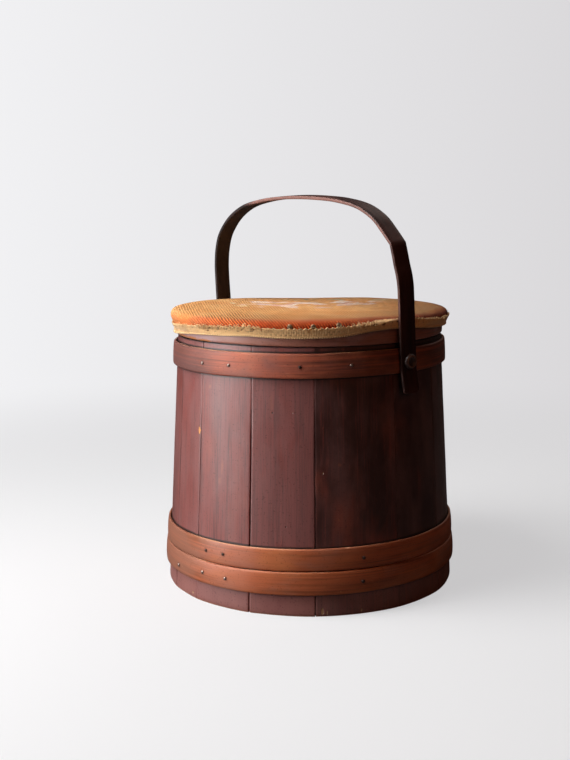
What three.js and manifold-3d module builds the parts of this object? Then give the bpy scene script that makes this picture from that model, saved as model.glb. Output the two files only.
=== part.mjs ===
// Sugar bucket: an old stave-built firkin with three bent hoops, a swing bail on turned pins,
// and a lift-off lid whose board is padded and covered in needlepoint, with gimp round its edge.
// Millimetres, +Z up. The origin is the centre of the foot, and X runs along the bail's pins.
import * as THREE from 'three';
import { mergeVertices } from 'three/addons/utils/BufferGeometryUtils.js';
import Module from 'manifold-3d';

const wasm = await Module();
wasm.setup();

// Fits
const clearance = 0.3; // between pieces that touch
const overrun = 2; // how far a drill runs past what it cuts
const roundFacets = 60; // flats round every turned or bent piece
const facetAngle = (2 * Math.PI) / roundFacets;
const facetStretch = 1 / Math.cos(facetAngle / 2); // from a flat's middle out to its corner

// Shell
const footRadius = 140;
const staveTaper = 13.07; // how much smaller the mouth's radius is than the foot's
const staveLength = 249;
const wall = 11;
const tongueWidth = 2.4;
const tongueDepth = 2.2;
const tongueInset = 4.8; // from the outer face to the tongue's middle
const tongueChamfer = 0.5;
const crozeHeight = 22; // middle of the groove that holds the head
const crozeWidth = 6;
const crozeDepth = 3.5;
const crozeSlope = 1;
const staveStartDeg = -5.6;
const staveWidthsDeg = [25.1, 26, 23, 28.5, 24, 27, 19.5, 28, 26, 31.3, 17.1, 25.7, 25.2, 33.6];

// Neck, where the lid's band sits
const neckDepth = 1.83; // shaved off the outside at the mouth
const neckOverlap = 8.5;
const shoulderSlope = 0.4;

// Bottom head
const headThickness = 12;
const headEdge = 3.2;
const headBevel = 3.6;
const headSplit = 24; // the joint between its two boards, off the middle

// Hoops
const hoopThickness = 2.9;
const slimHoopThickness = 2.4;
const footHoopLow = 20;
const footHoopWidth = 21.2;
const lowerHoopWidth = 20.2;
const topHoopBelowPivot = 11.3; // the pins go through the top hoop
const topHoopWidth = 22.4;
const footHoopRise = 1.7; // each hoop is driven on a little askew
const topHoopRise = 1.4;
const riseTowardDeg = 50;
const lapStartDeg = 132;
const lapFacets = 3;
// Sections of bent strips, as shares of their width and thickness: edges eased with a knife, and on
// the hoops an outer face left slightly round
const bandSectionShares = [[0, 0.6], [0.07, 1], [0.93, 1], [1, 0.6]];
const hoopSectionShares = [[0, 0.6], [0.06, 1], [0.5, 1.08], [0.94, 1], [1, 0.6]];
const scarfShare = 0.12; // what is left of the thickness at a shaved end

// Lid
const lidPlay = 0.6;
const lidBandThickness = 2.6;
const lidBoardThickness = 7;
const clothThickness = 1.3;
const waddingPlay = 0.8; // how loosely the wadding lies under the cloth
const coverCrown = 15.2; // crown above the stave ends
const coverHem = 0.6; // hem above the stave ends
const coverBulge = 8.5; // widest place above the stave ends
const coverSwell = 4.3; // how far the padding stands out past the band
const gimpWidth = 8.3;
const gimpThickness = 1;
const gimpStandOff = 0.7; // over the cover, which it crosses askew
const gimpTuck = 2.5; // how far below the hem the gimp has drawn in to the band

// Bail and its pins
const pivotDrop = 25; // from the mouth down to the pins
const bailNearWidth = 18.8;
const bailFarWidth = 17.4; // the strip was riven a little narrower toward this end
const bailThickness = 3.1;
const bailChamfer = 0.6;
const bailPlay = 0.52;
const bailRise = 145.2; // pivot to the middle of the arch's top
const bailFoot = 31; // pivot to the end of the leg
const bailSplay = 3.4; // how far the leg's end springs away from the shell
const bailRounding = 3.5;
const splayPower = 1.15;
const bailLeanDeg = 3.3; // as friction holds it in use
const bailSkew = 0.5; // how far the strip's middle lies off the pins, half at each end
const archSteps = 30;
const legSteps = 7;
// The bail's middle line above its pins, as shares of its half span and of its rise: the far leg
// and the arch as far as a crease in the near shoulder, then the near leg down from there
const archShares = [
  [-1, 0], [-1, 0.3], [-1, 0.42], [-0.996, 0.523], [-0.976, 0.627], [-0.934, 0.723],
  [-0.865, 0.799], [-0.771, 0.868], [-0.613, 0.937], [-0.397, 0.978], [-0.185, 0.995],
  [0.027, 1], [0.23, 0.994], [0.43, 0.978], [0.64, 0.937], [0.782, 0.868], [0.859, 0.799],
  [0.938, 0.72],
];
const nearLegShares = [
  [0.938, 0.72], [0.9576, 0.645], [0.972, 0.585], [0.986, 0.54], [0.998, 0.47], [1, 0.4], [1, 0.2],
  [1, 0],
];
const pinRadius = 3.8;
const pinHeadRadius = 6.9;
const pinHeadHeight = 3.3;
const pinDish = 1;
const pinTail = 10;
const pinFacets = 14;
const keyRadius = 1.6;
const keyLength = 15;
const keyFacets = 8;

// Tacks
const tackHeadRadius = 1.7;
const tackHeadHeight = 0.9;
const tackShankRadius = 0.65;
const tackLength = 8;
const tackFacets = 6;

// Finishes: [colour, roughness, metalness]
const finish = ([colour, roughness, metalness]) =>
  new THREE.MeshStandardMaterial({ color: colour, roughness, metalness });
const stainedPine = finish(['#5c3029', 0.45, 0]);
const bareBoard = finish(['#a07850', 0.7, 0]);
const hoopWood = finish(['#8a4a30', 0.45, 0]);
const bailWood = finish(['#3a211c', 0.4, 0]);
const pegWood = finish(['#4a3029', 0.5, 0]);
const cottonWadding = finish(['#d8ccb4', 1, 0]);
const needlepointWool = finish(['#b9763f', 0.95, 0]);
const gimpBraid = finish(['#b59a5c', 0.9, 0]);
const blackIron = finish(['#2d2a29', 0.5, 0.9]);

const bucket = new THREE.Group();

function piece(name, geometry, material) {
  const mesh = new THREE.Mesh(geometry, material);
  mesh.name = name;
  bucket.add(mesh);
  return mesh;
}

const radians = THREE.MathUtils.degToRad;

// A point at a radius and angle, moved along the circle by a shift.
function around(radius, angle, z, shift = 0) {
  return new THREE.Vector3(
    radius * Math.cos(angle) - shift * Math.sin(angle),
    radius * Math.sin(angle) + shift * Math.cos(angle),
    z,
  );
}

const shellRadius = (z) => footRadius - (staveTaper * z) / staveLength;

// Triangles over a closed ring of points, wound the way the ring runs.
function capOf(ring) {
  const normal = new THREE.Vector3();
  ring.forEach((point, i) => {
    const next = ring[(i + 1) % ring.length];
    normal.add(new THREE.Vector3().crossVectors(point, next));
  });
  normal.normalize();
  const across = new THREE.Vector3().subVectors(ring[1], ring[0]).normalize();
  const along = new THREE.Vector3().crossVectors(normal, across);
  const flat = ring.map((point) => new THREE.Vector2(point.dot(across), point.dot(along)));
  const faces = THREE.ShapeUtils.triangulateShape(flat, []);
  const area = faces.reduce(
    (sum, face) => sum + THREE.ShapeUtils.area(face.map((i) => flat[i])),
    0,
  );
  return area > 0 ? faces : faces.map(([a, b, c]) => [a, c, b]);
}

function signedVolume(points, faces) {
  return faces.reduce(
    (sum, [a, b, c]) =>
      sum + points[a].dot(new THREE.Vector3().crossVectors(points[b], points[c])),
    0,
  );
}

// Skin over rings with equal numbers of points; an endless skin joins its last ring to its first.
function loft(rings, endless = false) {
  const count = rings[0].length;
  const points = rings.flat();
  const faces = [];
  const spans = endless ? rings.length : rings.length - 1;
  for (let i = 0; i < spans; i += 1) {
    const here = i * count;
    const next = ((i + 1) % rings.length) * count;
    for (let j = 0; j < count; j += 1) {
      const k = (j + 1) % count;
      faces.push([here + j, here + k, next + k], [here + j, next + k, next + j]);
    }
  }
  if (!endless) {
    const last = (rings.length - 1) * count;
    capOf(rings[0]).forEach(([a, b, c]) => faces.push([a, c, b]));
    capOf(rings.at(-1)).forEach((face) => faces.push(face.map((i) => i + last)));
  }
  const outward = signedVolume(points, faces) > 0;
  const order = outward ? faces : faces.map(([a, b, c]) => [a, c, b]);
  const geometry = new THREE.BufferGeometry().setFromPoints(points);
  geometry.setIndex(order.flat());
  return geometry;
}

// A profile of [radius, height] pairs turned about Z.
function turned(profile, facets = roundFacets) {
  const points = profile.map(([radius, height]) => new THREE.Vector2(radius, height));
  const geometry = new THREE.LatheGeometry(points, facets);
  geometry.rotateX(Math.PI / 2);
  return geometry;
}

function solidOf(geometry) {
  const bare = geometry.clone();
  bare.deleteAttribute('normal');
  bare.deleteAttribute('uv');
  const merged = mergeVertices(bare);
  const vertProperties = new Float32Array(merged.attributes.position.array);
  const triVerts = new Uint32Array(merged.index.array);
  return new wasm.Manifold(new wasm.Mesh({ numProp: 3, vertProperties, triVerts }));
}

function geometryOf(solid) {
  const { vertProperties, triVerts } = solid.getMesh();
  const geometry = new THREE.BufferGeometry();
  geometry.setAttribute('position', new THREE.BufferAttribute(vertProperties, 3));
  geometry.setIndex(new THREE.BufferAttribute(triVerts, 1));
  return geometry;
}

function cut(geometry, tools) {
  return geometryOf(tools.reduce((solid, tool) => solid.subtract(solidOf(tool)), solidOf(geometry)));
}

// Turns a piece made along Z so that it points outward at an angle, at a height.
function pointOutward(target, angle, height) {
  return target.rotateY(Math.PI / 2).rotateZ(angle).translate(0, 0, height);
}

// A straight drill along the radius at an angle, between two distances from the axis.
function radialDrill(radius, from, to, angle, height, facets) {
  const drill = turned([[0, from], [radius, from], [radius, to], [0, to]], facets);
  return pointOutward(drill, angle, height);
}

// Places round the shell

const neckRadius = shellRadius(staveLength) - neckDepth;
const pivotHeight = staveLength - pivotDrop;
const topHoopLow = pivotHeight - topHoopBelowPivot;
const lidBandLow = staveLength - neckOverlap;
const shoulderTop = lidBandLow - clearance;
const lidBoardLow = staveLength + clearance;
const lidBoardTop = lidBoardLow + lidBoardThickness;
const lowerHoopLow = footHoopLow + footHoopWidth + clearance;
const pinAngles = { near: 0, far: Math.PI };

// Each tack: the hoop that it holds, its angle, and its height as a share of that hoop's width.
const tackPlaces = [
  { hoop: 'top', angleDeg: -88.2, heightShare: 0.44 },
  { hoop: 'top', angleDeg: -74, heightShare: 0.46 },
  { hoop: 'top', angleDeg: -44.8, heightShare: 0.48 },
  { hoop: 'top', angleDeg: -25, heightShare: 0.5 },
  { hoop: 'lower', angleDeg: -83.6, heightShare: 0.5 },
  { hoop: 'lower', angleDeg: -75.1, heightShare: 0.5 },
  { hoop: 'lower', angleDeg: -21.2, heightShare: 0.5 },
  { hoop: 'foot', angleDeg: -101.3, heightShare: 0.36 },
  { hoop: 'foot', angleDeg: -85, heightShare: 0.5 },
  { hoop: 'foot', angleDeg: -73.8, heightShare: 0.46 },
  { hoop: 'foot', angleDeg: -21.7, heightShare: 0.5 },
  { hoop: 'top', angleDeg: 137, heightShare: 0.5 },
  { hoop: 'top', angleDeg: 143, heightShare: 0.5 },
  { hoop: 'lower', angleDeg: 137, heightShare: 0.5 },
  { hoop: 'lower', angleDeg: 143, heightShare: 0.5 },
  { hoop: 'foot', angleDeg: 137, heightShare: 0.5 },
  { hoop: 'foot', angleDeg: 143, heightShare: 0.5 },
];

const hoops = {
  foot: { low: footHoopLow, width: footHoopWidth, thickness: hoopThickness, rise: footHoopRise },
  lower: { low: lowerHoopLow, width: lowerHoopWidth, thickness: slimHoopThickness, rise: footHoopRise },
  top: { low: topHoopLow, width: topHoopWidth, thickness: hoopThickness, rise: topHoopRise },
};
Object.values(hoops).forEach((hoop) => {
  hoop.seat = (z) => shellRadius(z) + clearance;
  hoop.sectionShares = hoopSectionShares;
});

const hoopLift = (hoop, angle) => hoop.rise * Math.cos(angle - radians(riseTowardDeg));

// How a bent strip runs at a share of its lap: how thick it is and how far it stands off its seat.
function lapLayer(thickness, lapShare, over) {
  const shaved = scarfShare + (1 - scarfShare) * lapShare;
  const under = thickness * shaved;
  return over
    ? { thickness: thickness * (1 + scarfShare - shaved), standOff: under + clearance }
    : { thickness: under, standOff: 0 };
}

// How thick a bent strip is at a height, as a share of its thickness
function sectionShare(sectionShares, heightShare) {
  const share = THREE.MathUtils.clamp(heightShare, 0, 1);
  const next = Math.max(sectionShares.findIndex(([at]) => at >= share), 1);
  const [from, low] = sectionShares[next - 1];
  const [to, high] = sectionShares[next];
  return THREE.MathUtils.mapLinear(share, from, to, low, high);
}

const hoopOutside = (hoop, angle, z) => {
  const turns = THREE.MathUtils.euclideanModulo(angle - radians(lapStartDeg), 2 * Math.PI);
  const lapShare = turns / (lapFacets * facetAngle);
  const layer = lapShare < 1
    ? lapLayer(hoop.thickness, lapShare, true)
    : { thickness: hoop.thickness, standOff: 0 };
  const heightShare = (z - hoop.low - hoopLift(hoop, angle)) / hoop.width;
  const thickness = layer.thickness * sectionShare(hoop.sectionShares, heightShare);
  return hoop.seat(z) * facetStretch + layer.standOff + thickness;
};

// Bent strips: hoops and the lid's band, with both ends shaved thin and lapped

function bentStrip({ low, width, thickness, rise, seat, sectionShares }) {
  const rings = [];
  const steps = roundFacets + lapFacets;
  for (let i = 0; i <= steps; i += 1) {
    const angle = radians(lapStartDeg) + i * facetAngle;
    const bottom = low + rise * Math.cos(angle - radians(riseTowardDeg));
    const top = bottom + width;
    const over = i >= roundFacets;
    const inLap = i <= lapFacets || over;
    const lapShare = (over ? i - roundFacets : i) / lapFacets;
    const layer = inLap ? lapLayer(thickness, lapShare, over) : { thickness, standOff: 0 };
    const inside = (z) => seat(z) * facetStretch + layer.standOff;
    const outer = sectionShares.map(([heightShare, share]) => {
      const z = THREE.MathUtils.lerp(bottom, top, heightShare);
      return around(inside(z) + layer.thickness * share, angle, z);
    });
    rings.push([
      around(inside(bottom), angle, bottom),
      around(inside(top), angle, top),
      ...outer.reverse(),
    ]);
  }
  return loft(rings);
}

// The shell's inner face at the pins, and the bail's inner face, which stands clear of the top hoop
const wallInside = shellRadius(pivotHeight) - wall;
const bailInside = hoopOutside(hoops.top, pinAngles.near, pivotHeight) + bailPlay;

// Where each tack goes through its hoop
const tacks = tackPlaces.map(({ hoop, angleDeg, heightShare }) => {
  const angle = radians(angleDeg);
  const height = hoops[hoop].low + hoopLift(hoops[hoop], angle) + hoops[hoop].width * heightShare;
  return { hoop, angle, height, seat: hoopOutside(hoops[hoop], angle, height) + clearance / 2 };
});
const tackDrill = ({ angle, height, seat }) =>
  radialDrill(
    tackShankRadius + clearance,
    seat - tackLength - clearance,
    seat + overrun,
    angle,
    height,
    tackFacets,
  );
const pinDrill = (angle, from, to) =>
  radialDrill(pinRadius + clearance, from, to, angle, pivotHeight, pinFacets);

// Staves: tapered, tongued on one edge and grooved on the other, with the croze that holds the
// head inside the foot and a shaved neck outside the mouth

const crozeLow = crozeHeight - crozeWidth / 2;
const crozeTop = crozeHeight + crozeWidth / 2;
const staveLevels = [
  { z: 0, croze: 0, neck: false },
  { z: crozeLow, croze: 0, neck: false },
  { z: crozeLow + crozeSlope, croze: crozeDepth, neck: false },
  { z: crozeTop - crozeSlope, croze: crozeDepth, neck: false },
  { z: crozeTop, croze: 0, neck: false },
  { z: shoulderTop - shoulderSlope, croze: 0, neck: false },
  { z: shoulderTop, croze: 0, neck: true },
  { z: staveLength, croze: 0, neck: true },
];

function staveSection(level, fromAngle, toAngle, facets) {
  const { z, croze, neck } = level;
  const outer = neck ? neckRadius : shellRadius(z);
  const inner = shellRadius(z) - wall + croze;
  const middle = shellRadius(z) - tongueInset;
  const seam = clearance / 2;
  const ring = [];
  const arc = (radius, start, end) => {
    for (let i = 0; i <= facets; i += 1) {
      const angle = start + ((end - start) * i) / facets;
      const edge = i === 0 || i === facets;
      const inward = Math.abs(angle - toAngle) < Math.abs(angle - fromAngle) ? -seam : seam;
      ring.push(around(radius, angle, z, edge ? inward : 0));
    }
  };
  const joint = (angle, shift, half) => [
    around(middle + half, angle, z, shift),
    around(middle + half - tongueChamfer, angle, z, shift + tongueDepth),
    around(middle - half + tongueChamfer, angle, z, shift + tongueDepth),
    around(middle - half, angle, z, shift),
  ];
  arc(outer, fromAngle, toAngle);
  ring.push(...joint(toAngle, -seam, tongueWidth / 2));
  arc(inner, toAngle, fromAngle);
  ring.push(...joint(fromAngle, seam, tongueWidth / 2 + clearance).reverse());
  return ring;
}

let edgeDeg = staveStartDeg;
staveWidthsDeg.forEach((widthDeg, index) => {
  const fromAngle = radians(edgeDeg);
  const toAngle = radians(edgeDeg + widthDeg);
  const facets = Math.max(2, Math.round(radians(widthDeg) / facetAngle));
  const sections = staveLevels.map((level) => staveSection(level, fromAngle, toAngle, facets));
  const isHere = (angle) =>
    THREE.MathUtils.euclideanModulo(angle - fromAngle, 2 * Math.PI) < toAngle - fromAngle;
  const drills = tacks.filter(({ angle }) => isHere(angle)).map(tackDrill);
  Object.values(pinAngles).filter(isHere).forEach((angle) => {
    drills.push(pinDrill(angle, wallInside - overrun, wallInside + wall + overrun));
  });
  const blank = loft(sections);
  const name = `stave_${String(index + 1).padStart(2, '0')}`;
  piece(name, drills.length ? cut(blank, drills) : blank, stainedPine);
  edgeDeg += widthDeg;
});

// Bottom head: two boards, bevelled to a thin edge that sits in the croze

const headLow = crozeHeight - headThickness / 2;
const headTop = crozeHeight + headThickness / 2;
const headRadius = (shellRadius(crozeHeight) - wall + crozeDepth) / facetStretch - 2 * clearance;
const headDisc = turned([
  [0, headLow],
  [headRadius - crozeDepth - headBevel, headLow],
  [headRadius - crozeDepth, crozeHeight - headEdge / 2],
  [headRadius, crozeHeight - headEdge / 2],
  [headRadius, crozeHeight + headEdge / 2],
  [headRadius - crozeDepth, crozeHeight + headEdge / 2],
  [headRadius - crozeDepth - headBevel, headTop],
  [0, headTop],
]);
// The block that clears one side of the joint between the boards
function headSide(side) {
  const depth = 2 * footRadius;
  const block = new THREE.BoxGeometry(depth, depth, headThickness + overrun);
  const edge = headSplit + (side * clearance) / 2;
  return block.translate(0, edge - (side * depth) / 2, crozeHeight);
}
piece('bottom_board_narrow', cut(headDisc, [headSide(1)]), bareBoard);
piece('bottom_board_wide', cut(headDisc, [headSide(-1)]), bareBoard);

// Hoops, with holes for their tacks and, in the top one, for the bail's pins

Object.entries(hoops).forEach(([name, hoop]) => {
  const drills = tacks.filter((tack) => tack.hoop === name).map(tackDrill);
  if (name === 'top') {
    Object.values(pinAngles).forEach((angle) => {
      drills.push(pinDrill(angle, wallInside + wall - overrun, bailInside + overrun));
    });
  }
  piece(`${name}_hoop`, cut(bentStrip(hoop), drills), hoopWood);
});

// Tacks: small domed heads on square-cut shanks

const tackProfile = [
  [0, -tackLength],
  [tackShankRadius, -tackLength / 2],
  [tackShankRadius, 0],
  [tackHeadRadius, 0],
  [tackHeadRadius * 0.75, tackHeadHeight * 0.7],
  [0, tackHeadHeight],
];
tacks.forEach(({ hoop, angle, height, seat }, index) => {
  const number = String(index + 1).padStart(2, '0');
  const tack = piece(`${hoop}_hoop_tack_${number}`, turned(tackProfile, tackFacets), blackIron);
  tack.geometry.rotateY(Math.PI / 2);
  tack.rotation.z = angle;
  tack.position.copy(around(seat, angle, height));
});

// Lid: a board inside a bent band, its wadding, the needlepoint cover and the gimp

const lidBandSeat = neckRadius + lidPlay;
const lidBandOutside = lidBandSeat * facetStretch + lidBandThickness * (1 + scarfShare) + clearance;
piece('lid_band', bentStrip({
  low: lidBandLow,
  width: lidBoardTop - lidBandLow,
  thickness: lidBandThickness,
  rise: 0,
  seat: () => lidBandSeat,
  sectionShares: bandSectionShares,
}), hoopWood);
piece('lid_board', turned([
  [0, lidBoardLow],
  [lidBandSeat - clearance, lidBoardLow],
  [lidBandSeat - clearance, lidBoardTop],
  [0, lidBoardTop],
]), bareBoard);

// The lid's soft edge is pressed flat where it passes between the bail's legs.
const gimpFlat = bailInside - 2 * clearance;
const coverFlat = gimpFlat - gimpThickness - clearance;
const hemInside = lidBandOutside + clearance;
const hemOutside = hemInside + clothThickness;
const bulgeRadius = lidBandOutside + coverSwell;

// Meridian of the cover's outside, from the crown to the hem, as [radius, height] pairs
const crownTop = staveLength + coverCrown;
const hemHeight = staveLength + coverHem;
const bulgeHeight = staveLength + coverBulge;
const rimDrop = crownTop - bulgeHeight;
const coverOutside = [
  [0, crownTop],
  [bulgeRadius * 0.45, crownTop - rimDrop * 0.04],
  [bulgeRadius * 0.78, crownTop - rimDrop * 0.1],
  [bulgeRadius * 0.93, crownTop - rimDrop * 0.16],
  [bulgeRadius * 0.975, crownTop - rimDrop * 0.32],
  [bulgeRadius * 0.995, crownTop - rimDrop * 0.62],
  [bulgeRadius, bulgeHeight],
  [bulgeRadius - (bulgeRadius - hemOutside) * 0.35, bulgeHeight - (bulgeHeight - hemHeight) * 0.4],
  [bulgeRadius - (bulgeRadius - hemOutside) * 0.8, bulgeHeight - (bulgeHeight - hemHeight) * 0.7],
  [hemOutside, hemHeight],
];

// The same meridian drawn in by a distance along its own normals
function drawnIn(profile, distance) {
  return profile.map(([radius, height], i) => {
    const [beforeRadius, beforeHeight] = profile[Math.max(i - 1, 0)];
    const [afterRadius, afterHeight] = profile[Math.min(i + 1, profile.length - 1)];
    const run = new THREE.Vector2(afterRadius - beforeRadius, afterHeight - beforeHeight).normalize();
    return [Math.max(radius + run.y * distance, 0), height - run.x * distance];
  });
}

// The radius of a meridian that runs downward, at a height
function radiusAt(profile, z) {
  const next = profile.findLastIndex(([, height]) => height > z);
  const [aboveRadius, above] = profile[next];
  const [belowRadius, below] = profile[next + 1];
  return THREE.MathUtils.mapLinear(z, above, below, aboveRadius, belowRadius);
}

// Presses a turned piece flat on both sides, so that no point lies further out along X.
function pressFlat(geometry, flatOf) {
  const { position } = geometry.attributes;
  for (let i = 0; i < position.count; i += 1) {
    const flat = flatOf(i);
    position.setX(i, THREE.MathUtils.clamp(position.getX(i), -flat, flat));
  }
  return geometry;
}

const coverInside = drawnIn(coverOutside, clothThickness)
  .map(([radius, height]) => [radius, Math.max(height, hemHeight)])
  .map(([radius, height]) => [height < lidBoardTop ? Math.max(radius, hemInside) : radius, height]);
coverInside[0][0] = 0;
const coverProfile = [...coverInside, ...coverOutside.toReversed()];
const isOutside = (i) => i % coverProfile.length >= coverInside.length;
piece(
  'needlepoint_cover',
  pressFlat(turned(coverProfile), (i) => (isOutside(i) ? coverFlat : coverFlat - clothThickness)),
  needlepointWool,
);

const waddingLow = lidBoardTop + clearance;
const waddingOutside = drawnIn(coverOutside, clothThickness + waddingPlay);
const waddingTop = waddingOutside.filter(([, height]) => height > waddingLow + clearance);
const waddingEdge = radiusAt(waddingOutside, waddingLow);
piece(
  'lid_wadding',
  pressFlat(
    turned([
      [0, waddingLow],
      [waddingEdge, waddingLow],
      ...waddingTop.slice(1).toReversed(),
      [0, waddingTop[0][1]],
    ]),
    () => coverFlat - clothThickness - waddingPlay,
  ),
  cottonWadding,
);

// Gimp: how far its lower edge stands above the band's, as shares of its width round the lid
const gimpWanderShares = [
  [-130, 0.05], [-115, 0.14], [-90, 0.68], [-65, 0.95], [-50, 0.8], [-33, 0.88], [-20, 1.25],
  [-5, 1.56], [10, 1.36], [29, 0.98], [60, 0.88], [100, 0.8], [150, 0.9], [190, 0.55],
];
function gimpLow(angle) {
  const degrees = THREE.MathUtils.euclideanModulo(THREE.MathUtils.radToDeg(angle) + 130, 360) - 130;
  const stops = [...gimpWanderShares, [gimpWanderShares[0][0] + 360, gimpWanderShares[0][1]]];
  const next = stops.findIndex(([at]) => at > degrees);
  const [from, low] = stops[next - 1];
  const [to, high] = stops[next];
  const share = THREE.MathUtils.smootherstep(degrees, from, to);
  return lidBandLow + clearance + gimpWidth * THREE.MathUtils.lerp(low, high, share);
}
// The radius of what lies under the gimp: the cover down to its hem, and the band below it
function underGimp(z) {
  const tuckHeight = hemHeight - gimpTuck;
  if (z <= tuckHeight) return hemInside;
  if (z <= hemHeight) return THREE.MathUtils.mapLinear(z, tuckHeight, hemHeight, hemInside, hemOutside);
  return radiusAt(coverOutside, z);
}
const gimpStations = 6;
const gimpRings = Array.from({ length: roundFacets }, (_, i) => {
  const angle = i * facetAngle;
  const heights = Array.from(
    { length: gimpStations },
    (_, j) => gimpLow(angle) + (gimpWidth * j) / (gimpStations - 1),
  );
  const side = (extra, flat) => heights.map((z) => {
    const point = around(underGimp(z) + gimpStandOff + extra, angle, z);
    point.x = THREE.MathUtils.clamp(point.x, -flat, flat);
    return point;
  });
  return [...side(0, gimpFlat - gimpThickness), ...side(gimpThickness, gimpFlat).reverse()];
});
piece('lid_gimp', loft(gimpRings, true), gimpBraid);

// Bail: one bent strip, straight up both sides, with a broad arch and feet that spring outward

const bailMiddle = bailInside + bailThickness / 2;
const bailLine = [];
const footSteps = 4;
for (let i = 0; i <= footSteps; i += 1) {
  const splayShare = 1 - i / footSteps;
  const depth = THREE.MathUtils.lerp(pinHeadRadius, bailFoot, splayShare);
  const splay = bailSplay * splayShare ** splayPower;
  bailLine.push(new THREE.Vector2(-bailMiddle - splay, -depth));
}
const smoothLine = (shares, steps) => new THREE.CatmullRomCurve3(
  shares.map(([reach, climb]) => new THREE.Vector3(bailMiddle * reach, bailRise * climb, 0)),
  false,
  'centripetal',
).getSpacedPoints(steps).map(({ x, y }) => new THREE.Vector2(x, y));
bailLine.push(...smoothLine(archShares, archSteps), ...smoothLine(nearLegShares, legSteps).slice(1));
for (let i = footSteps; i >= 0; i -= 1) {
  bailLine.push(new THREE.Vector2(-bailLine[i].x, bailLine[i].y));
}
bailLine.splice(1, 0, bailLine[0].clone().lerp(bailLine[1], bailRounding / (bailFoot / footSteps)));
bailLine.splice(-1, 0, new THREE.Vector2(-bailLine[1].x, bailLine[1].y));

function bailSection(point, index) {
  const before = bailLine[Math.max(index - 1, 0)];
  const after = bailLine[Math.min(index + 1, bailLine.length - 1)];
  const run = after.clone().sub(before).normalize();
  const isEnd = index === 0 || index === bailLine.length - 1;
  const nearness = (point.x / bailMiddle + 1) / 2;
  const middle = bailSkew * (1 - 2 * nearness) / 2;
  const halfWidth = THREE.MathUtils.lerp(bailFarWidth, bailNearWidth, nearness) / 2
    - (isEnd ? bailRounding / 2 : 0);
  const half = bailThickness / 2;
  const corners = [
    [halfWidth, half - bailChamfer], [halfWidth - bailChamfer, half],
    [bailChamfer - halfWidth, half], [-halfWidth, half - bailChamfer],
    [-halfWidth, bailChamfer - half], [bailChamfer - halfWidth, -half],
    [halfWidth - bailChamfer, -half], [halfWidth, bailChamfer - half],
  ];
  return corners.map(([across, out]) =>
    new THREE.Vector3(point.x - run.y * out, middle + across, point.y + run.x * out));
}
const bailBlank = loft(bailLine.map(bailSection));
const bailDrills = Object.values(pinAngles).map((angle) =>
  radialDrill(
    pinRadius + clearance,
    bailInside - overrun,
    bailInside + bailThickness + overrun,
    angle,
    0,
    pinFacets,
  ));
const bail = piece('bail', cut(bailBlank, bailDrills), bailWood);
bail.position.z = pivotHeight;
bail.rotation.x = radians(bailLeanDeg);

// Turned pins: through the bail, the hoop and the stave, each held by a cross key inside the wall

const pinHeadSeat = bailInside + bailThickness + clearance;
const pinEnd = wallInside - pinTail;
const keyHigh = pivotHeight + keyLength / 2;
const keyPlace = (shellRadius(keyHigh) - wall) / facetStretch - 2 * clearance - keyRadius;
const pinBlank = turned([
  [0, pinEnd],
  [pinRadius - clearance, pinEnd],
  [pinRadius, pinEnd + clearance],
  [pinRadius, pinHeadSeat],
  [pinHeadRadius, pinHeadSeat],
  [pinHeadRadius, pinHeadSeat + pinHeadHeight * 0.35],
  [pinHeadRadius * 0.86, pinHeadSeat + pinHeadHeight * 0.8],
  [pinHeadRadius * 0.66, pinHeadSeat + pinHeadHeight],
  [pinHeadRadius * 0.45, pinHeadSeat + pinHeadHeight - pinDish * 0.5],
  [0, pinHeadSeat + pinHeadHeight - pinDish],
], pinFacets);
const keyHole = turned([
  [0, -pinRadius - overrun],
  [keyRadius + clearance, -pinRadius - overrun],
  [keyRadius + clearance, pinRadius + overrun],
  [0, pinRadius + overrun],
], keyFacets).rotateY(-Math.PI / 2).translate(0, 0, keyPlace);
const pinBody = cut(pinBlank, [keyHole]);
const keyTaperShare = 0.8;
Object.entries(pinAngles).forEach(([side, angle]) => {
  piece(`bail_pin_${side}`, pointOutward(pinBody.clone(), angle, pivotHeight), pegWood);
  const key = piece(`pin_key_${side}`, turned([
    [0, -keyLength / 2],
    [keyRadius * keyTaperShare, -keyLength / 2],
    [keyRadius, keyLength / 2],
    [0, keyLength / 2],
  ], keyFacets), bareBoard);
  key.position.copy(around(keyPlace, angle, pivotHeight));
});

export default bucket;
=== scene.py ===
"""An old sugar bucket dressed as it was found: staves, hoops, bail, padded lid and needlepoint."""
import logging
import math
from dataclasses import dataclass, field, replace
from enum import Enum
from typing import Any, Callable, Sequence

import bmesh
import bpy
import numpy as np
from bpy.types import Material, Node, NodeSocket, NodeTree, Object
from mathutils import Matrix, Vector


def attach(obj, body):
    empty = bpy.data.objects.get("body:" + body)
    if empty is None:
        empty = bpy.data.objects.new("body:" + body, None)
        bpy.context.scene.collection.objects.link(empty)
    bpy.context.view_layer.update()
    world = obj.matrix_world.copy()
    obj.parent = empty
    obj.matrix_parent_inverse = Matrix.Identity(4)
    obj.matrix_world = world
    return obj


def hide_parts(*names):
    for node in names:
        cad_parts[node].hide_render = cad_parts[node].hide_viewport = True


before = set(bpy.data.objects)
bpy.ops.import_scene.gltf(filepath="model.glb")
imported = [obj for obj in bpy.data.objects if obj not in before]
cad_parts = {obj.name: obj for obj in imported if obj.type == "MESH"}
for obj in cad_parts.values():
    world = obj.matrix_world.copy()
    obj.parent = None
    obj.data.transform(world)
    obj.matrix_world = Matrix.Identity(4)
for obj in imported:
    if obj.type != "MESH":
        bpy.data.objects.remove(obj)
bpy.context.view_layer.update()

log = logging.getLogger("sugar_bucket")

MM = 0.001
FULL_TURN = 2 * math.pi
PHOTO_TURN_DEG = 49.83  # how far the photographed front is turned from -Y about Z


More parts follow.
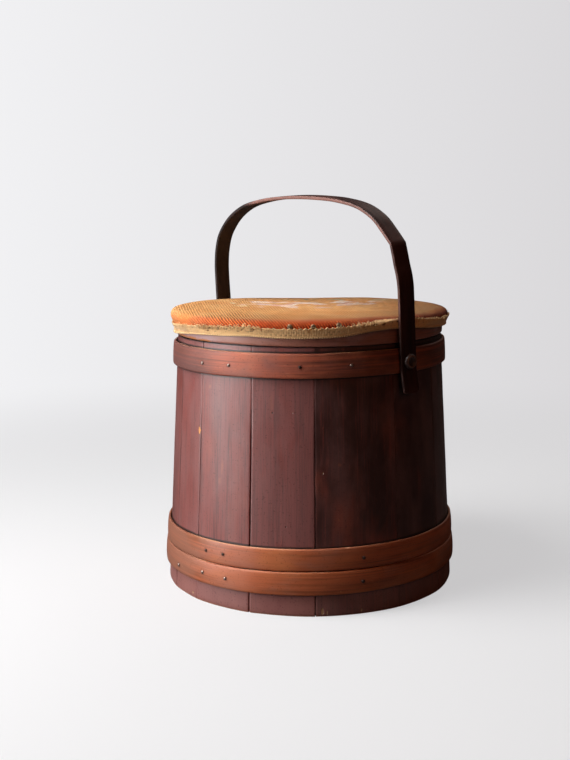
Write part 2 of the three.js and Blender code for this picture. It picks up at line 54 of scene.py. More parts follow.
def seen_angle(degrees: float) -> float:
    """Turn an angle to the right of the photographed front into a polar angle about Z.

    Args:
        degrees: angle seen from above the bucket, to the right of its photographed front.

    Returns:
        The polar angle in radians, from +X.
    """
    return math.radians(degrees - 90 + PHOTO_TURN_DEG)


def front_angle(polar: Any) -> Any:
    """Turn polar angles in radians into degrees to the right of the photographed front."""
    return (np.degrees(polar) + 90 - PHOTO_TURN_DEG + 180) % 360 - 180


def from_table(table: Sequence[Sequence[float]], seen: Any, column: int = 1) -> Any:
    """Read a column of a table whose first column is the angle to the right of the front."""
    stops = np.array(table).T
    return np.interp(seen, stops[0], stops[column])


def triples(first: Any, second: Any, third: Any) -> np.ndarray:
    """Join three coordinates into an array whose last axis holds them."""
    return np.stack(np.broadcast_arrays(first, second, third), -1)


def run_lengths(path: np.ndarray) -> np.ndarray:
    """Measure how far along a line each of its points lies."""
    return np.concatenate([[0], np.cumsum(np.linalg.norm(np.diff(path, axis=0), axis=1))])


def facing(angle: float, tip: float = 0.0) -> Matrix:
    """Turn a piece's own Z outward from the bucket's axis and tip it up, both in radians."""
    return Matrix.Rotation(angle, 3, "Z") @ Matrix.Rotation(math.pi / 2 - tip, 3, "Y")


def around(radius: Any, angle: Any, height: Any, shift: Any = 0.0) -> np.ndarray:
    """Place points about the bucket's axis.

    Args:
        radius: distance from the axis, mm.
        angle: polar angle, radians.
        height: height above the foot, mm.
        shift: distance along the circle, mm.

    Returns:
        Points as an array whose last axis is X, Y, Z.
    """
    radius, angle, height, shift = np.broadcast_arrays(radius, angle, height, shift)
    x = radius * np.cos(angle) - shift * np.sin(angle)
    y = radius * np.sin(angle) + shift * np.cos(angle)
    return np.stack([x, y, height.astype(float)], -1)


def ease(value: Any, low: float, high: float) -> Any:
    """Rise smoothly from 0 at low to 1 at high."""
    share = np.clip((np.asarray(value, float) - low) / (high - low), 0, 1)
    return share * share * (3 - 2 * share)


def unevenness(seed: int, first: Any, second: Any, widest: float) -> np.ndarray:
    """Sum a few seeded waves into the slight unevenness of hand work.

    Args:
        seed: picks the waves.
        first: one coordinate over the surface, mm.
        second: the other coordinate, mm.
        widest: length of the widest wave, mm.

    Returns:
        Smooth values between about -1 and 1.
    """
    picks = np.random.default_rng(seed)
    total = np.zeros(np.broadcast(first, second).shape)
    for octave in range(3):
        for _ in range(3):
            heading, phase = picks.uniform(0, FULL_TURN, 2)
            pitch = FULL_TURN / (widest / 2**octave)
            along = first * math.cos(heading) + second * math.sin(heading)
            total = total + np.sin(along * pitch + phase) / (3 * 2**octave)
    return total


# Colours and nodes


def linear(hexcode: str) -> tuple[float, float, float, float]:
    """Turn an sRGB hex colour into a linear one.

    Args:
        hexcode: the colour as #rrggbb.

    Returns:
        Linear red, green, blue and alpha.
    """
    channels = [int(hexcode[i : i + 2], 16) / 255 for i in (1, 3, 5)]
    made = [c / 12.92 if c <= 0.04045 else ((c + 0.055) / 1.055) ** 2.4 for c in channels]
    return (made[0], made[1], made[2], 1.0)


def add_node(tree: NodeTree, kind: str, inputs: dict | None = None, **settings: Any) -> Node:
    """Add one node with its settings, values and links.

    Args:
        tree: the tree that the node goes into.
        kind: the node's type without its common prefix.
        inputs: values, nodes or sockets by the name or the place of the node's own live sockets.
        settings: the node's properties.

    Returns:
        The new node.
    """
    node = tree.nodes.new("ShaderNode" + kind)
    for name, value in settings.items():
        setattr(node, name, value)
    live = [socket for socket in node.inputs if socket.enabled]
    for key, value in (inputs or {}).items():
        socket = live[key] if isinstance(key, int) else next(s for s in live if s.name == key)
        if isinstance(value, Node):
            value = next(s for s in value.outputs if s.enabled)
        if isinstance(value, NodeSocket):
            tree.links.new(value, socket)
        else:
            socket.default_value = value
    return node


def new_material(name: str) -> tuple[Material, NodeTree]:
    """Make an empty node material.

    Args:
        name: the material's name.

    Returns:
        The material and its tree.
    """
    material = bpy.data.materials.new(name)
    material.use_nodes = True
    material.node_tree.nodes.clear()
    return material, material.node_tree


# Surfaces


@dataclass
class Skin:
    """Rings of points, with what each point carries, that become one closed mesh.

    points is rings x points x 3, in mm. Each ring is a loop unless ring_loops is off, when every
    ring runs from axis to axis. An endless skin joins its last ring to its first.
    """

    points: np.ndarray
    carried: dict[str, np.ndarray] = field(default_factory=dict)
    ring_loops: bool = True
    endless: bool = False
    sharp_deg: float = 50.0

    def faces(self) -> list[tuple[int, ...]]:
        """List the skin's faces, with a cap over each open end.

        Returns:
            Each face as the places of its points.
        """
        rings, count = self.points.shape[:2]
        index = np.arange(rings * count).reshape(rings, count)
        spans = (rings if self.endless else rings - 1, count if self.ring_loops else count - 1)
        across = np.roll(index, -1, 1)[: spans[0], : spans[1]]
        onward = np.roll(index, -1, 0)[: spans[0], : spans[1]]
        both = np.roll(np.roll(index, -1, 0), -1, 1)[: spans[0], : spans[1]]
        here = index[: spans[0], : spans[1]]
        quads = np.stack([here, across, both, onward], -1).reshape(-1, 4)
        made = [tuple(int(i) for i in quad) for quad in quads]
        if self.ring_loops and not self.endless:
            made.append(tuple(int(i) for i in index[0][::-1]))
            made.append(tuple(int(i) for i in index[-1]))
        return made

    def make(self, name: str) -> Object:
        """Build the mesh, outward side out, and put it in the scene.

        Args:
            name: the new object's name.

        Returns:
            The new object, in metres.
        """
        mesh = bpy.data.meshes.new(name)
        mesh.from_pydata((self.points.reshape(-1, 3) * MM).tolist(), [], self.faces())
        for key, values in self.carried.items():
            vector = values.ndim == 3
            form = "FLOAT_VECTOR" if vector else "FLOAT"
            layer = mesh.attributes.new(key, form, "POINT")
            flat = (values * MM if vector else values).astype(np.float32).ravel()
            layer.data.foreach_set("vector" if vector else "value", flat)
        shape = bmesh.new()
        shape.from_mesh(mesh)
        if not self.ring_loops:
            bmesh.ops.remove_doubles(shape, verts=shape.verts, dist=MM * MM)
        bmesh.ops.recalc_face_normals(shape, faces=shape.faces)
        if shape.calc_volume(signed=True) < 0:
            bmesh.ops.reverse_faces(shape, faces=shape.faces)
        for face in shape.faces:
            face.smooth = True
        shape.to_mesh(mesh)
        shape.free()
        mesh.set_sharp_from_angle(angle=math.radians(self.sharp_deg))
        made = bpy.data.objects.new(name, mesh)
        bpy.context.scene.collection.objects.link(made)
        return made

    def placed(self, turn: np.ndarray, move: Sequence[float]) -> "Skin":
        """Turn the points by a 3 x 3 matrix, then move them, mm."""
        self.points = self.points @ np.asarray(turn).T + np.asarray(move, float)
        return self


def turned(profile: Sequence[Sequence[float]], steps: int, grain_mm: float = 0.0) -> Skin:
    """Turn a profile about Z.

    Args:
        profile: [radius, height] pairs in mm, from the axis to the axis.
        steps: facets round the axis.
        grain_mm: added to the grain's place, so that no two pieces show the same wood.

    Returns:
        The turned skin, with its grain along Z.
    """
    shape = np.asarray(profile, float)
    angles = np.arange(steps)[:, None] * FULL_TURN / steps
    points = around(shape[None, :, 0], angles, shape[None, :, 1])
    grain = points[..., [2, 0, 1]] + grain_mm
    return Skin(points, {"grain": grain, "wear": np.zeros(points.shape[:2])}, False, True)


def tube(path: np.ndarray, radius: Any, sides: int, endless: bool = False) -> Skin:
    """Run a round section along a path.

    Args:
        path: points in mm.
        radius: the tube's radius in mm, one value or one for each point.
        sides: points round the section.
        endless: whether the path closes on itself.

    Returns:
        The tube's skin.
    """
    if endless:
        run = np.roll(path, -1, 0) - np.roll(path, 1, 0)
    else:
        run = np.gradient(path, axis=0)
    run /= np.linalg.norm(run, axis=1, keepdims=True)
    outward = path * np.array([1, 1, 0])
    outward /= np.linalg.norm(outward, axis=1, keepdims=True)
    side = np.cross(run, outward)
    side /= np.linalg.norm(side, axis=1, keepdims=True) + 1e-9
    third = np.cross(side, run)
    turn = np.arange(sides) * FULL_TURN / sides
    radius = np.broadcast_to(radius, len(path))[:, None, None]
    ring = side[:, None] * np.cos(turn)[None, :, None] + third[:, None] * np.sin(turn)[None, :, None]
    points = path[:, None] + ring * radius
    spread = np.broadcast_to(turn[None, :], points.shape[:2])
    grain = triples(run_lengths(path)[:, None], spread, 0.0)
    return Skin(points, {"grain": grain, "wear": np.zeros(spread.shape)}, True, endless)


def through(points: np.ndarray, step: float) -> np.ndarray:
    """Run a smooth line through points.

    Args:
        points: the points, in mm.
        step: about how far apart the line's own points lie, mm.

    Returns:
        The line's points, from the first to the last.
    """
    ends = [2 * points[0] - points[1], *points, 2 * points[-1] - points[-2]]
    made = [points[:1]]
    for before, start, end, after in zip(ends, ends[1:], ends[2:], ends[3:]):
        # knots at the root of each distance keep the line from looping between uneven points
        gaps = [math.dist(a, b) ** 0.5 for a, b in ((before, start), (start, end), (end, after))]
        out = gaps[1] * ((start - before) / gaps[0] - (end - before) / (gaps[0] + gaps[1])) + (end - start)
        into = gaps[1] * ((after - end) / gaps[2] - (after - start) / (gaps[1] + gaps[2])) + (end - start)
        count = max(1, round(math.dist(start, end) / step))
        t = (np.arange(count) + 1)[:, None] / count
        rise = t * t * (3 - 2 * t)
        made.append(start + (end - start) * rise + out * t * (1 - t) ** 2 - into * t * t * (1 - t))
    return np.concatenate(made)


def rounded(points: Sequence[Sequence[float]], rounds: int = 3) -> np.ndarray:
    """Round an open line of points by cutting its corners, keeping both of its ends.

    Args:
        points: the line's points.
        rounds: how often every corner is cut.

    Returns:
        The rounded line's points.
    """
    line = np.asarray(points, float)
    for _ in range(rounds):
        near = line[:-1] * 0.75 + line[1:] * 0.25
        far = line[:-1] * 0.25 + line[1:] * 0.75
        line = np.concatenate([line[:1], np.stack([near, far], 1).reshape(-1, 2), line[-1:]])
    return line


# Finishes


class GrainSource(Enum):
    """Where a wood finish reads the direction of its grain."""

    CARRIED = "grain"  # carried by the mesh: along, across and into the wood
    LEVEL = "level"  # across the piece, along X


class MarkKind(Enum):
    """A mark on wood: how hard its rim is, and its colour."""

    CHIP = (0.75, "#b98a66")
    FRESH_CHIP = (0.8, "#e39a55")
    SCUFF = (0.2, "#b4694a")
    WORN_EDGE = (0.3, "#c0763f")
    IRON_STAIN = (0.0, "#3b2530")
    DULLED = (-0.3, "#5c352c")
    DENT = (0.5, "#2a1413")
    PALE_NICK = (0.6, "#d9a37c")


MARK_RAG = 0.9  # how far noise shifts a mark's rim, as a share of its size
MARK_DEPTH = 4.0  # how deep a chip or dent is, as a multiple of the wood's relief


@dataclass(frozen=True)
class Mark:
    """A mark on the shell or a hoop, placed by its angle from the photographed front and height.

    out is how far in mm it lies outside the staves' face, and across and tall are half its size.
    """

    seen_deg: float
    height: float
    across: float
    tall: float
    kind: MarkKind
    strength: float = 1.0
    out: float = 0.0


@dataclass(frozen=True)
class AgedWood:
    """Old finished wood. Fibres, growth bands and stain come from noise stretched along the grain.

    Sizes are in mm: fibre and band give the length along and the width across the grain.
    """

    name: str
    slot: str
    deep: str  # stain gathered in the pores
    body: str
    bright: str  # where the finish is thin
    bare: str  # worn through on arrises
    bloom_and_sheen: str  # dull, dusty skin of old varnish, laid on thicker as painted sheen where the warmth is low
    # dust, and painted sheen where the hoops' highlights fall and on the staves' foot
    dust_and_sheen: str = "#c4887c"
    dirt: str = "#150b0a"  # grime, and painted shade, in the corners
    fibre: tuple[float, float] = (70.0, 0.8)
    band: tuple[float, float] = (500.0, 9.0)
    cloud: float = 45.0
    roughness: float = 0.42
    specular: float = 0.35
    relief: float = 0.06
    chatter: float = 0.0  # height of the plane's ripples, as a share of the relief
    chatter_pitch: float = 2.3
    speck: float = 1.7
    rag: float = 2.5  # size of the raggedness round marks
    bump: float = 0.8
    bloom_and_sheen_share: float = 0.3
    wear_share: float = 0.7
    scratch_share: float = 0.3
    speck_share: float = 0.5
    varnish: float = 1.0  # how whole the varnish is
    varnish_roughness: float = 0.42
    gleam: str = "#ffffff"  # tint of the light that the fibres under the varnish throw back
    source: GrainSource = GrainSource.CARRIED
    marks: tuple[Mark, ...] = ()

    def grain(self, tree: NodeTree) -> NodeSocket:
        """Find how far along, across and into the wood a point lies.

        Args:
            tree: the material's tree.

        Returns:
            The socket that carries it.
        """
        if self.source is GrainSource.CARRIED:
            return add_node(tree, "Attribute", attribute_name="grain").outputs["Vector"]
        return add_node(tree, "TexCoord").outputs["Object"]

    def patterns(self, tree: NodeTree, place: NodeSocket) -> dict[str, Any]:
        """Make the wood's patterns: noise stretched along the grain, and weighted sums of it.

        Args:
            tree: the material's tree.
            place: the socket of the point's place.

        Returns:
            The patterns by name.
        """
        grain = self.grain(tree)
        carried = ("tone", "warmth", "wear", "grime_and_shade", "dust_and_sheen")
        made: dict[str, Any] = {
            key: add_node(tree, "Attribute", attribute_name=key).outputs["Fac"] for key in carried
        }
        # length along and width across the grain in mm, detail and distortion
        spots = {
            "fibre": (*self.fibre, 5.0, 0.3), "band": (*self.band, 3.0, 0.8),
            "cloud": (self.cloud * 2.2, self.cloud, 3.0, 0.4),
            "haze": (self.cloud * 1.6, self.cloud * 0.7, 4.0, 0.2),
            "scratch": (9.0, 0.5, 2.0, 0.0), "grit": (2.0, 1.0, 2.0, 0.0),
        }
        for key, (along, across, detail, distortion) in spots.items():
            scale = (1 / (along * MM), 1 / (across * MM), 1 / (across * MM))
            spread = add_node(tree, "VectorMath", {0: grain, 1: scale}, operation="MULTIPLY")
            look = {"Vector": spread, "Scale": 1.0, "Detail": detail, "Distortion": distortion}
            made[key] = add_node(tree, "TexNoise", {**look, "Roughness": 0.6})
        speck = {"Vector": place, "Scale": 1 / (self.speck * MM), "Detail": 2.0}
        made["speck"] = add_node(tree, "TexNoise", speck)
        # the plane's chatter: faint ripples across the grain, in patches
        along = add_node(tree, "SeparateXYZ", {0: grain}).outputs["X"]
        turn = FULL_TURN / (self.chatter_pitch * MM)
        ripple = add_node(tree, "Math", {0: along, 1: turn}, operation="MULTIPLY")
        ripple = add_node(tree, "Math", {0: ripple}, operation="SINE")
        patch = add_node(tree, "MapRange", {"Value": made["cloud"], "From Min": 0.5, "From Max": 0.65})
        made["chatter"] = add_node(tree, "Math", {0: ripple, 1: patch}, operation="MULTIPLY")
        sums = {
            "streak": {"fibre": 0.6, "band": 0.4, "tone": 0.12},
            "warm": {"cloud": 1.0, "warmth": 0.3},
            "cool": {"haze": 1.0, "warmth": -0.25},
            # dust, with the painted sheen that the mesh carries
            "dusty_sheen": {"haze": 0.5, "dust_and_sheen": 1.0},
            "worn": {"fibre": 0.7, "wear": 1.0},
            # dirt in patches, and the grime and painted shade that the mesh carries
            "dirt_and_shade": {"haze": 0.6, "grime_and_shade": 1.0},
            "height": {"fibre": 1.0, "grit": 0.25, "chatter": self.chatter},
        }
        for key, parts in sums.items():
            total: Any = 0.0
            for part, weight in parts.items():
                inputs = {0: made[part], 1: weight, 2: total}
                total = add_node(tree, "Math", inputs, operation="MULTIPLY_ADD")
            made[key] = total
        return made

    def build(self) -> Material:
        """Make the material.

        Returns:
            The material.
        """
        material, tree = new_material(self.name)
        place = add_node(tree, "TexCoord").outputs["Object"]
        made = self.patterns(tree, place)
        # each layer's pattern, where it starts to show and where it is whole, how much of it, colour
        layers = (
            ("streak", 0.3, 0.58, 1.0, self.body),
            ("warm", 0.42, 0.8, 0.85, self.bright),
            ("cool", 0.4, 0.75, self.bloom_and_sheen_share, self.bloom_and_sheen),
            ("dusty_sheen", 0.5, 1.3, 0.9, self.dust_and_sheen),
            ("worn", 0.75, 1.25, self.wear_share, self.bare),
            ("scratch", 0.66, 0.74, self.scratch_share, self.bare),
            ("speck", 0.6, 0.72, self.speck_share, self.deep),
            ("dirt_and_shade", 0.55, 1.1, 0.9, self.dirt),
        )
        colour: Any = linear(self.deep)
        for key, low, high, most, tint in layers:
            limits = {"Value": made[key], "From Min": low, "From Max": high, "To Max": most}
            made[key] = add_node(tree, "MapRange", limits, interpolation_type="SMOOTHSTEP")
            mix = {"Factor": made[key], "A": colour, "B": linear(tint)}
            colour = add_node(tree, "Mix", mix, data_type="RGBA")
        rag = {"Vector": place, "Scale": 1 / (self.rag * MM), "Detail": 3.0}
        ragged = add_node(tree, "TexNoise", rag)
        dents: Any = 0.0
        for mark in self.marks:
            colour, dents = self.lay_mark(tree, mark, (place, ragged), colour, dents)

        height = add_node(tree, "Math", {0: made["height"], 1: dents}, operation="SUBTRACT")
        bump = {"Strength": self.bump, "Distance": self.relief * MM, "Height": height}
        bump = add_node(tree, "Bump", bump)
        # fibres and worn places are rougher than the finish between them
        rough = {0: made["fibre"], 1: 0.22, 2: self.roughness - 0.11}
        rough = {0: made["worn"], 1: 0.15, 2: add_node(tree, "Math", rough, operation="MULTIPLY_ADD")}
        surface = add_node(
            tree,
            "BsdfPrincipled",
            {
                "Base Color": colour,
                "Roughness": add_node(tree, "Math", rough, operation="MULTIPLY_ADD"),
                "Normal": bump,
                "Specular IOR Level": self.specular,
                "Specular Tint": linear(self.gleam),
                "Coat Weight": self.varnish,
                "Coat Roughness": self.varnish_roughness,
                "Coat Normal": bump,
            },
        )
        add_node(tree, "OutputMaterial", {"Surface": surface})
        return material

    def lay_mark(
        self, tree: NodeTree, mark: Mark, where: tuple, colour: Any, dents: Any
    ) -> tuple[Any, Any]:
        """Lay one mark over the colour, and press chips and dents into the surface.

        Args:
            tree: the material's tree.
            mark: the mark.
            where: the sockets of the point's place and of the noise that makes rims ragged.
            colour: the colour so far.
            dents: how far the surface is pressed in so far.

        Returns:
            The colour and the pressing with the mark added.
        """
        place, ragged = where
        hardness, tint = mark.kind.value
        radius = shell_radius(mark.height) + mark.out
        centre = around(radius, seen_angle(mark.seen_deg), mark.height) * MM
        size = (mark.across * MM, mark.across * MM, mark.tall * MM)
        near = {"Vector": place, "Location": tuple(centre), "Scale": size}
        near = add_node(tree, "Mapping", near, vector_type="TEXTURE")
        reach = add_node(tree, "VectorMath", {0: near}, operation="LENGTH")
        reach = add_node(tree, "Math", {0: ragged, 1: MARK_RAG, 2: reach}, operation="MULTIPLY_ADD")
        # the noise adds about half of its weight to every reach
        rim = 1 + MARK_RAG / 2
        limits = {"Value": reach, "From Min": rim - 1 + hardness, "From Max": rim}
        limits |= {"To Min": mark.strength, "To Max": 0.0}
        share = add_node(tree, "MapRange", limits, interpolation_type="SMOOTHSTEP")
        colour = add_node(tree, "Mix", {"Factor": share, "A": colour, "B": linear(tint)}, data_type="RGBA")
        if mark.kind in (MarkKind.CHIP, MarkKind.FRESH_CHIP, MarkKind.DENT):
            dents = add_node(tree, "Math", {0: share, 1: MARK_DEPTH, 2: dents}, operation="MULTIPLY_ADD")
        return colour, dents


@dataclass(frozen=True)
class Metal:
    """Small iron pieces: dark with rust and handling, or rubbed bright."""

    name: str
    slot: str
    colour: str
    rust: str
    rust_share: float
    roughness: float
    spot: float = 0.8  # size of the rust's spots, mm

    def build(self) -> Material:
        """Make the material.

        Returns:
            The material.
        """
        material, tree = new_material(self.name)
        place = add_node(tree, "TexCoord").outputs["Object"]
        spots = {"Vector": place, "Scale": 1 / (self.spot * MM), "Detail": 4.0}
        spots = add_node(tree, "TexNoise", spots)
        limits = {"Value": spots, "From Min": 0.42, "From Max": 0.62, "To Max": self.rust_share}
        share = add_node(tree, "MapRange", limits)
        mix = {"Factor": share, "A": linear(self.colour), "B": linear(self.rust)}
        colour = add_node(tree, "Mix", mix, data_type="RGBA")
        bare = add_node(tree, "Math", {0: 1.0, 1: share}, operation="SUBTRACT")
        rough = add_node(tree, "Math", {0: share, 1: 0.35, 2: self.roughness}, operation="MULTIPLY_ADD")
        bump = add_node(tree, "Bump", {"Strength": 0.5, "Distance": 0.05 * MM, "Height": spots})
        look = {"Base Color": colour, "Metallic": bare, "Roughness": rough, "Normal": bump}
        surface = add_node(tree, "BsdfPrincipled", look)
        add_node(tree, "OutputMaterial", {"Surface": surface})
        return material


@dataclass(frozen=True)
class Blossom:
    """One patch of colour of the posy, as an ellipse over the canvas, in mm and degrees."""

    right: float
    away: float
    half_long: float
    half_wide: float
    turn_deg: float
    colour: str


def rose(right: float, away: float, size: float) -> list[Blossom]:
    """Lay out one open rose: outer petals, inner petals and heart.

    Args:
        right: place of its middle to the right of the lid's, mm.
        away: place of its middle beyond the lid's, mm.
        size: half of its width, mm.

    Returns:
        Its patches, from the bottom up.
    """
    petals = []
    tints = ("#f2c8aa", "#fae2cc", "#e6ac94", "#f6d8c4", "#dfbcb0")
    for step, tint in enumerate(tints):
        turn = FULL_TURN * step / len(tints) + 0.4
        spot = (right + size * 0.55 * math.cos(turn), away + size * 0.55 * math.sin(turn))
        petals.append(Blossom(*spot, size * 0.62, size * 0.48, math.degrees(turn) + 90, tint))
    petals.append(Blossom(right, away, size * 0.5, size * 0.44, 20, "#fbe9d8"))
    petals.append(Blossom(right + size * 0.08, away - size * 0.05, size * 0.24, size * 0.18, -30, "#c98c84"))
    return petals


def leaf(right: float, away: float, size: float, turn_deg: float, pale: bool = False) -> list[Blossom]:
    """Lay out one leaf with a lighter vein.

    Args:
        right: place of its middle to the right of the lid's, mm.
        away: place of its middle beyond the lid's, mm.
        size: half of its length, mm.
        turn_deg: how far it is turned.
        pale: whether it is straw-coloured instead of green.

    Returns:
        Its patches, from the bottom up.
    """
    tint, vein = ("#eed6a8", "#f8e8c6") if pale else ("#b4ab88", "#d8cba4")
    return [
        Blossom(right, away, size, size * 0.46, turn_deg, tint),
        Blossom(right, away, size * 0.8, size * 0.12, turn_deg, vein),
    ]


POSY = [
    *leaf(-34, 62, 19, 150), *leaf(-52, 14, 20, 190, True), *leaf(-64, 38, 15, 165, True),
    *leaf(-36, 12, 19, 205), *leaf(4, 84, 17, 80), *leaf(-18, 80, 16, 110, True),
    *leaf(32, 74, 18, 40), *leaf(50, 58, 20, 20, True), *leaf(68, 70, 16, 10, True),
    *leaf(42, 18, 19, -20, True), *leaf(8, -4, 16, -75), *leaf(58, 36, 15, -10),
    *rose(-27, 22, 33), *rose(31, 32, 32), *rose(1, 12, 36),
    *rose(-50, 36, 21), *rose(56, 34, 20),
]


@dataclass(frozen=True)
class Needlepoint:
    """Wool tent stitch on canvas: slanting strands in rows, faded on top and still red at the edge."""

    name: str = "faded_wool_tent_stitch"
    slot: str = "needlepoint_wool"
    pitch: float = 2.6  # canvas holes, mm: about ten to the inch
    gap_share: float = 0.9  # how much of the dark gap colour shows between crisp strands: deeper wool with painted shade
    matted_share: float = 0.65  # how much less of it shows between matted ones
    faded: str = "#e19f60"
    faded_pale: str = "#edb477"
    worn: str = "#c27c45"
    unfaded: str = "#f8763a"
    unfaded_deep: str = "#d24012"
    # colours between the strands: deeper wool, darkened as painted shade
    canvas: str = "#42120a"
    faded_canvas: str = "#9c5c30"
    relief: float = 0.4  # how far a strand stands above the canvas, mm
    wander: float = 0.9  # how far the rows stray, and over what length, mm
    wander_length: float = 18.0
    ply: float = 0.7  # twist of the wool, mm
    broad: float = 38.0  # sizes of the faded cloth's large and small patches, mm
    fine: float = 6.0
    run: int = 3  # stitches of one shade of wool
    shade_spread: float = 0.24  # how much the shades differ
    brightness: float = 0.87  # of the darkest shade
    posy_share: float = 0.92  # how much the posy covers the ground

    def strands(self, tree: NodeTree, flat: Any, laid: Any) -> Node:
        """Shape the strands: slanting rows of short stitches of twisted wool.

        Args:
            tree: the material's tree.
            flat: the socket of the point's place on the canvas.
            laid: the same with the rows' straying.

        Returns:
            The node that gives how high the wool stands.
        """
        lean = add_node(tree, "Attribute", attribute_name="lean").outputs["Fac"]
        axes = add_node(tree, "SeparateXYZ", {0: laid})
        slant = {0: lean, 1: MM, 2: axes.outputs["X"]}
        slant = add_node(tree, "Math", slant, operation="MULTIPLY_ADD")
        waves = []
        for along in (slant, axes.outputs["Y"]):
            swing = {0: along, 1: FULL_TURN / (self.pitch * MM)}
            swing = add_node(tree, "Math", swing, operation="MULTIPLY")
            waves.append(add_node(tree, "Math", {0: swing}, operation="COSINE"))
        strand = add_node(tree, "Math", {0: waves[0], 1: 0.5, 2: 0.5}, operation="MULTIPLY_ADD")
        ends = add_node(tree, "Math", {0: waves[1], 1: -0.2, 2: 0.8}, operation="MULTIPLY_ADD")
        height = add_node(tree, "Math", {0: strand, 1: ends}, operation="MULTIPLY")
        ply = {"Vector": flat, "Scale": 1 / (self.ply * MM), "Detail": 3.0}
        ply = add_node(tree, "TexNoise", ply)
        return add_node(tree, "Math", {0: ply, 1: 0.3, 2: height}, operation="MULTIPLY_ADD")

    def posy(self, tree: NodeTree, ground: Any, centre: Any) -> Any:
        """Work the posy over the ground, each stitch in one colour.

        Args:
            tree: the material's tree.
            ground: the ground's colour.
            centre: the middle of the stitch that a point belongs to.

        Returns:
            The colour with the posy.
        """
        for patch in POSY:
            spread = {
                "Vector": centre,
                "Location": (patch.right * MM, patch.away * MM, 0.0),
                "Rotation": (0, 0, math.radians(patch.turn_deg)),
                "Scale": (patch.half_long * MM, patch.half_wide * MM, 1.0),
            }
            near = add_node(tree, "Mapping", spread, vector_type="TEXTURE")
            reach = add_node(tree, "VectorMath", {0: near}, operation="LENGTH")
            inside = add_node(tree, "Math", {0: reach, 1: 1.0}, operation="LESS_THAN")
            inside = add_node(tree, "Math", {0: inside, 1: self.posy_share}, operation="MULTIPLY")
            mix = {"Factor": inside, "A": ground, "B": linear(patch.colour)}
            ground = add_node(tree, "Mix", mix, data_type="RGBA")
        return ground

    def build(self) -> Material:
        """Make the material.

        Returns:
            The material.
        """
        material, tree = new_material(self.name)
        flat = add_node(tree, "Attribute", attribute_name="stitch").outputs["Vector"]
        fade, painted_shade, matted = (
            add_node(tree, "Attribute", attribute_name=key).outputs["Fac"]
            for key in ("fade", "painted_shade", "matted")
        )
        pitch = self.pitch * MM
        wander = {"Vector": flat, "Scale": 1 / (self.wander_length * MM), "Detail": 2.0}
        wander = add_node(tree, "TexNoise", wander).outputs["Color"]
        wander = add_node(tree, "VectorMath", {0: wander, 1: (0.5, 0.5, 0.5)}, operation="SUBTRACT")
        wander = add_node(tree, "VectorMath", {0: wander, "Scale": self.wander * MM}, operation="SCALE")
        laid = add_node(tree, "VectorMath", {0: flat, 1: wander}, operation="ADD")
        cell = add_node(tree, "VectorMath", {0: laid, 1: (pitch, pitch, 1.0)}, operation="SNAP")
        centre = add_node(tree, "VectorMath", {0: cell, 1: (pitch / 2, pitch / 2, 0.0)}, operation="ADD")
        # the shade of the wool changes along each row, every few stitches
        run = add_node(tree, "VectorMath", {0: laid, 1: (pitch, pitch * self.run, 1.0)}, operation="SNAP")
        spot = add_node(tree, "TexWhiteNoise", {"Vector": run}, noise_dimensions="3D")
        height = self.strands(tree, flat, laid)
        broad, fine = (
            add_node(tree, "TexNoise", {"Vector": flat, "Scale": 1 / (size * MM), "Detail": 4.0})
            for size in (self.broad, self.fine)
        )
        # each pattern, where it starts and where it is whole, and how much of it then
        shares = []
        for value, low, high, first, last in (
            (broad, 0.35, 0.65, 0.0, 1.0), (fine, 0.48, 0.7, 0.0, 0.35), (broad, 0.3, 0.7, 0.0, 1.0),
            (matted, 0.4, 1.0, 0.0, 1.0), (height, 0.2, 0.72, 1.0, 0.0),
        ):
            limits = {"Value": value, "From Min": low, "From Max": high, "To Min": first, "To Max": last}
            shares.append(add_node(tree, "MapRange", limits, interpolation_type="SMOOTHSTEP"))
        pale, worn, deep, cleared, gap = shares
        tones = []
        for share, under, over in (
            (pale, self.faded, self.faded_pale),
            (deep, self.unfaded, self.unfaded_deep),
            (cleared, self.canvas, self.faded_canvas),
        ):
            mix = {"Factor": share, "A": linear(under), "B": linear(over)}
            tones.append(add_node(tree, "Mix", mix, data_type="RGBA"))
        top = add_node(tree, "Mix", {"Factor": worn, "A": tones[0], "B": linear(self.worn)}, data_type="RGBA")
        top = self.posy(tree, top, centre)
        colour = add_node(tree, "Mix", {"Factor": fade, "A": tones[1], "B": top}, data_type="RGBA")
        # the wool's value, less the painted shade that the mesh carries
        unshaded = add_node(tree, "Math", {0: self.brightness, 1: painted_shade}, operation="SUBTRACT")
        value = {0: spot.outputs["Value"], 1: self.shade_spread, 2: unshaded}
        value = add_node(tree, "Math", value, operation="MULTIPLY_ADD")
        colour = add_node(tree, "HueSaturation", {"Color": colour, "Value": value})
        # the gaps between strands take the dark colour, as painted shade over the deeper wool
        depth = {0: matted, 1: -self.matted_share, 2: self.gap_share}
        depth = add_node(tree, "Math", depth, operation="MULTIPLY_ADD")
        shade = add_node(tree, "Math", {0: gap, 1: depth}, operation="MULTIPLY")
        colour = add_node(tree, "Mix", {"Factor": shade, "A": colour, "B": tones[2]}, data_type="RGBA")
        bump = {"Strength": 1.0, "Distance": self.relief * MM, "Height": height}
        look = {
            "Base Color": colour, "Normal": add_node(tree, "Bump", bump), "Roughness": 0.92,
            "Specular IOR Level": 0.1, "Sheen Weight": 0.03, "Sheen Roughness": 0.5,
        }
        add_node(tree, "OutputMaterial", {"Surface": add_node(tree, "BsdfPrincipled", look)})
        return material


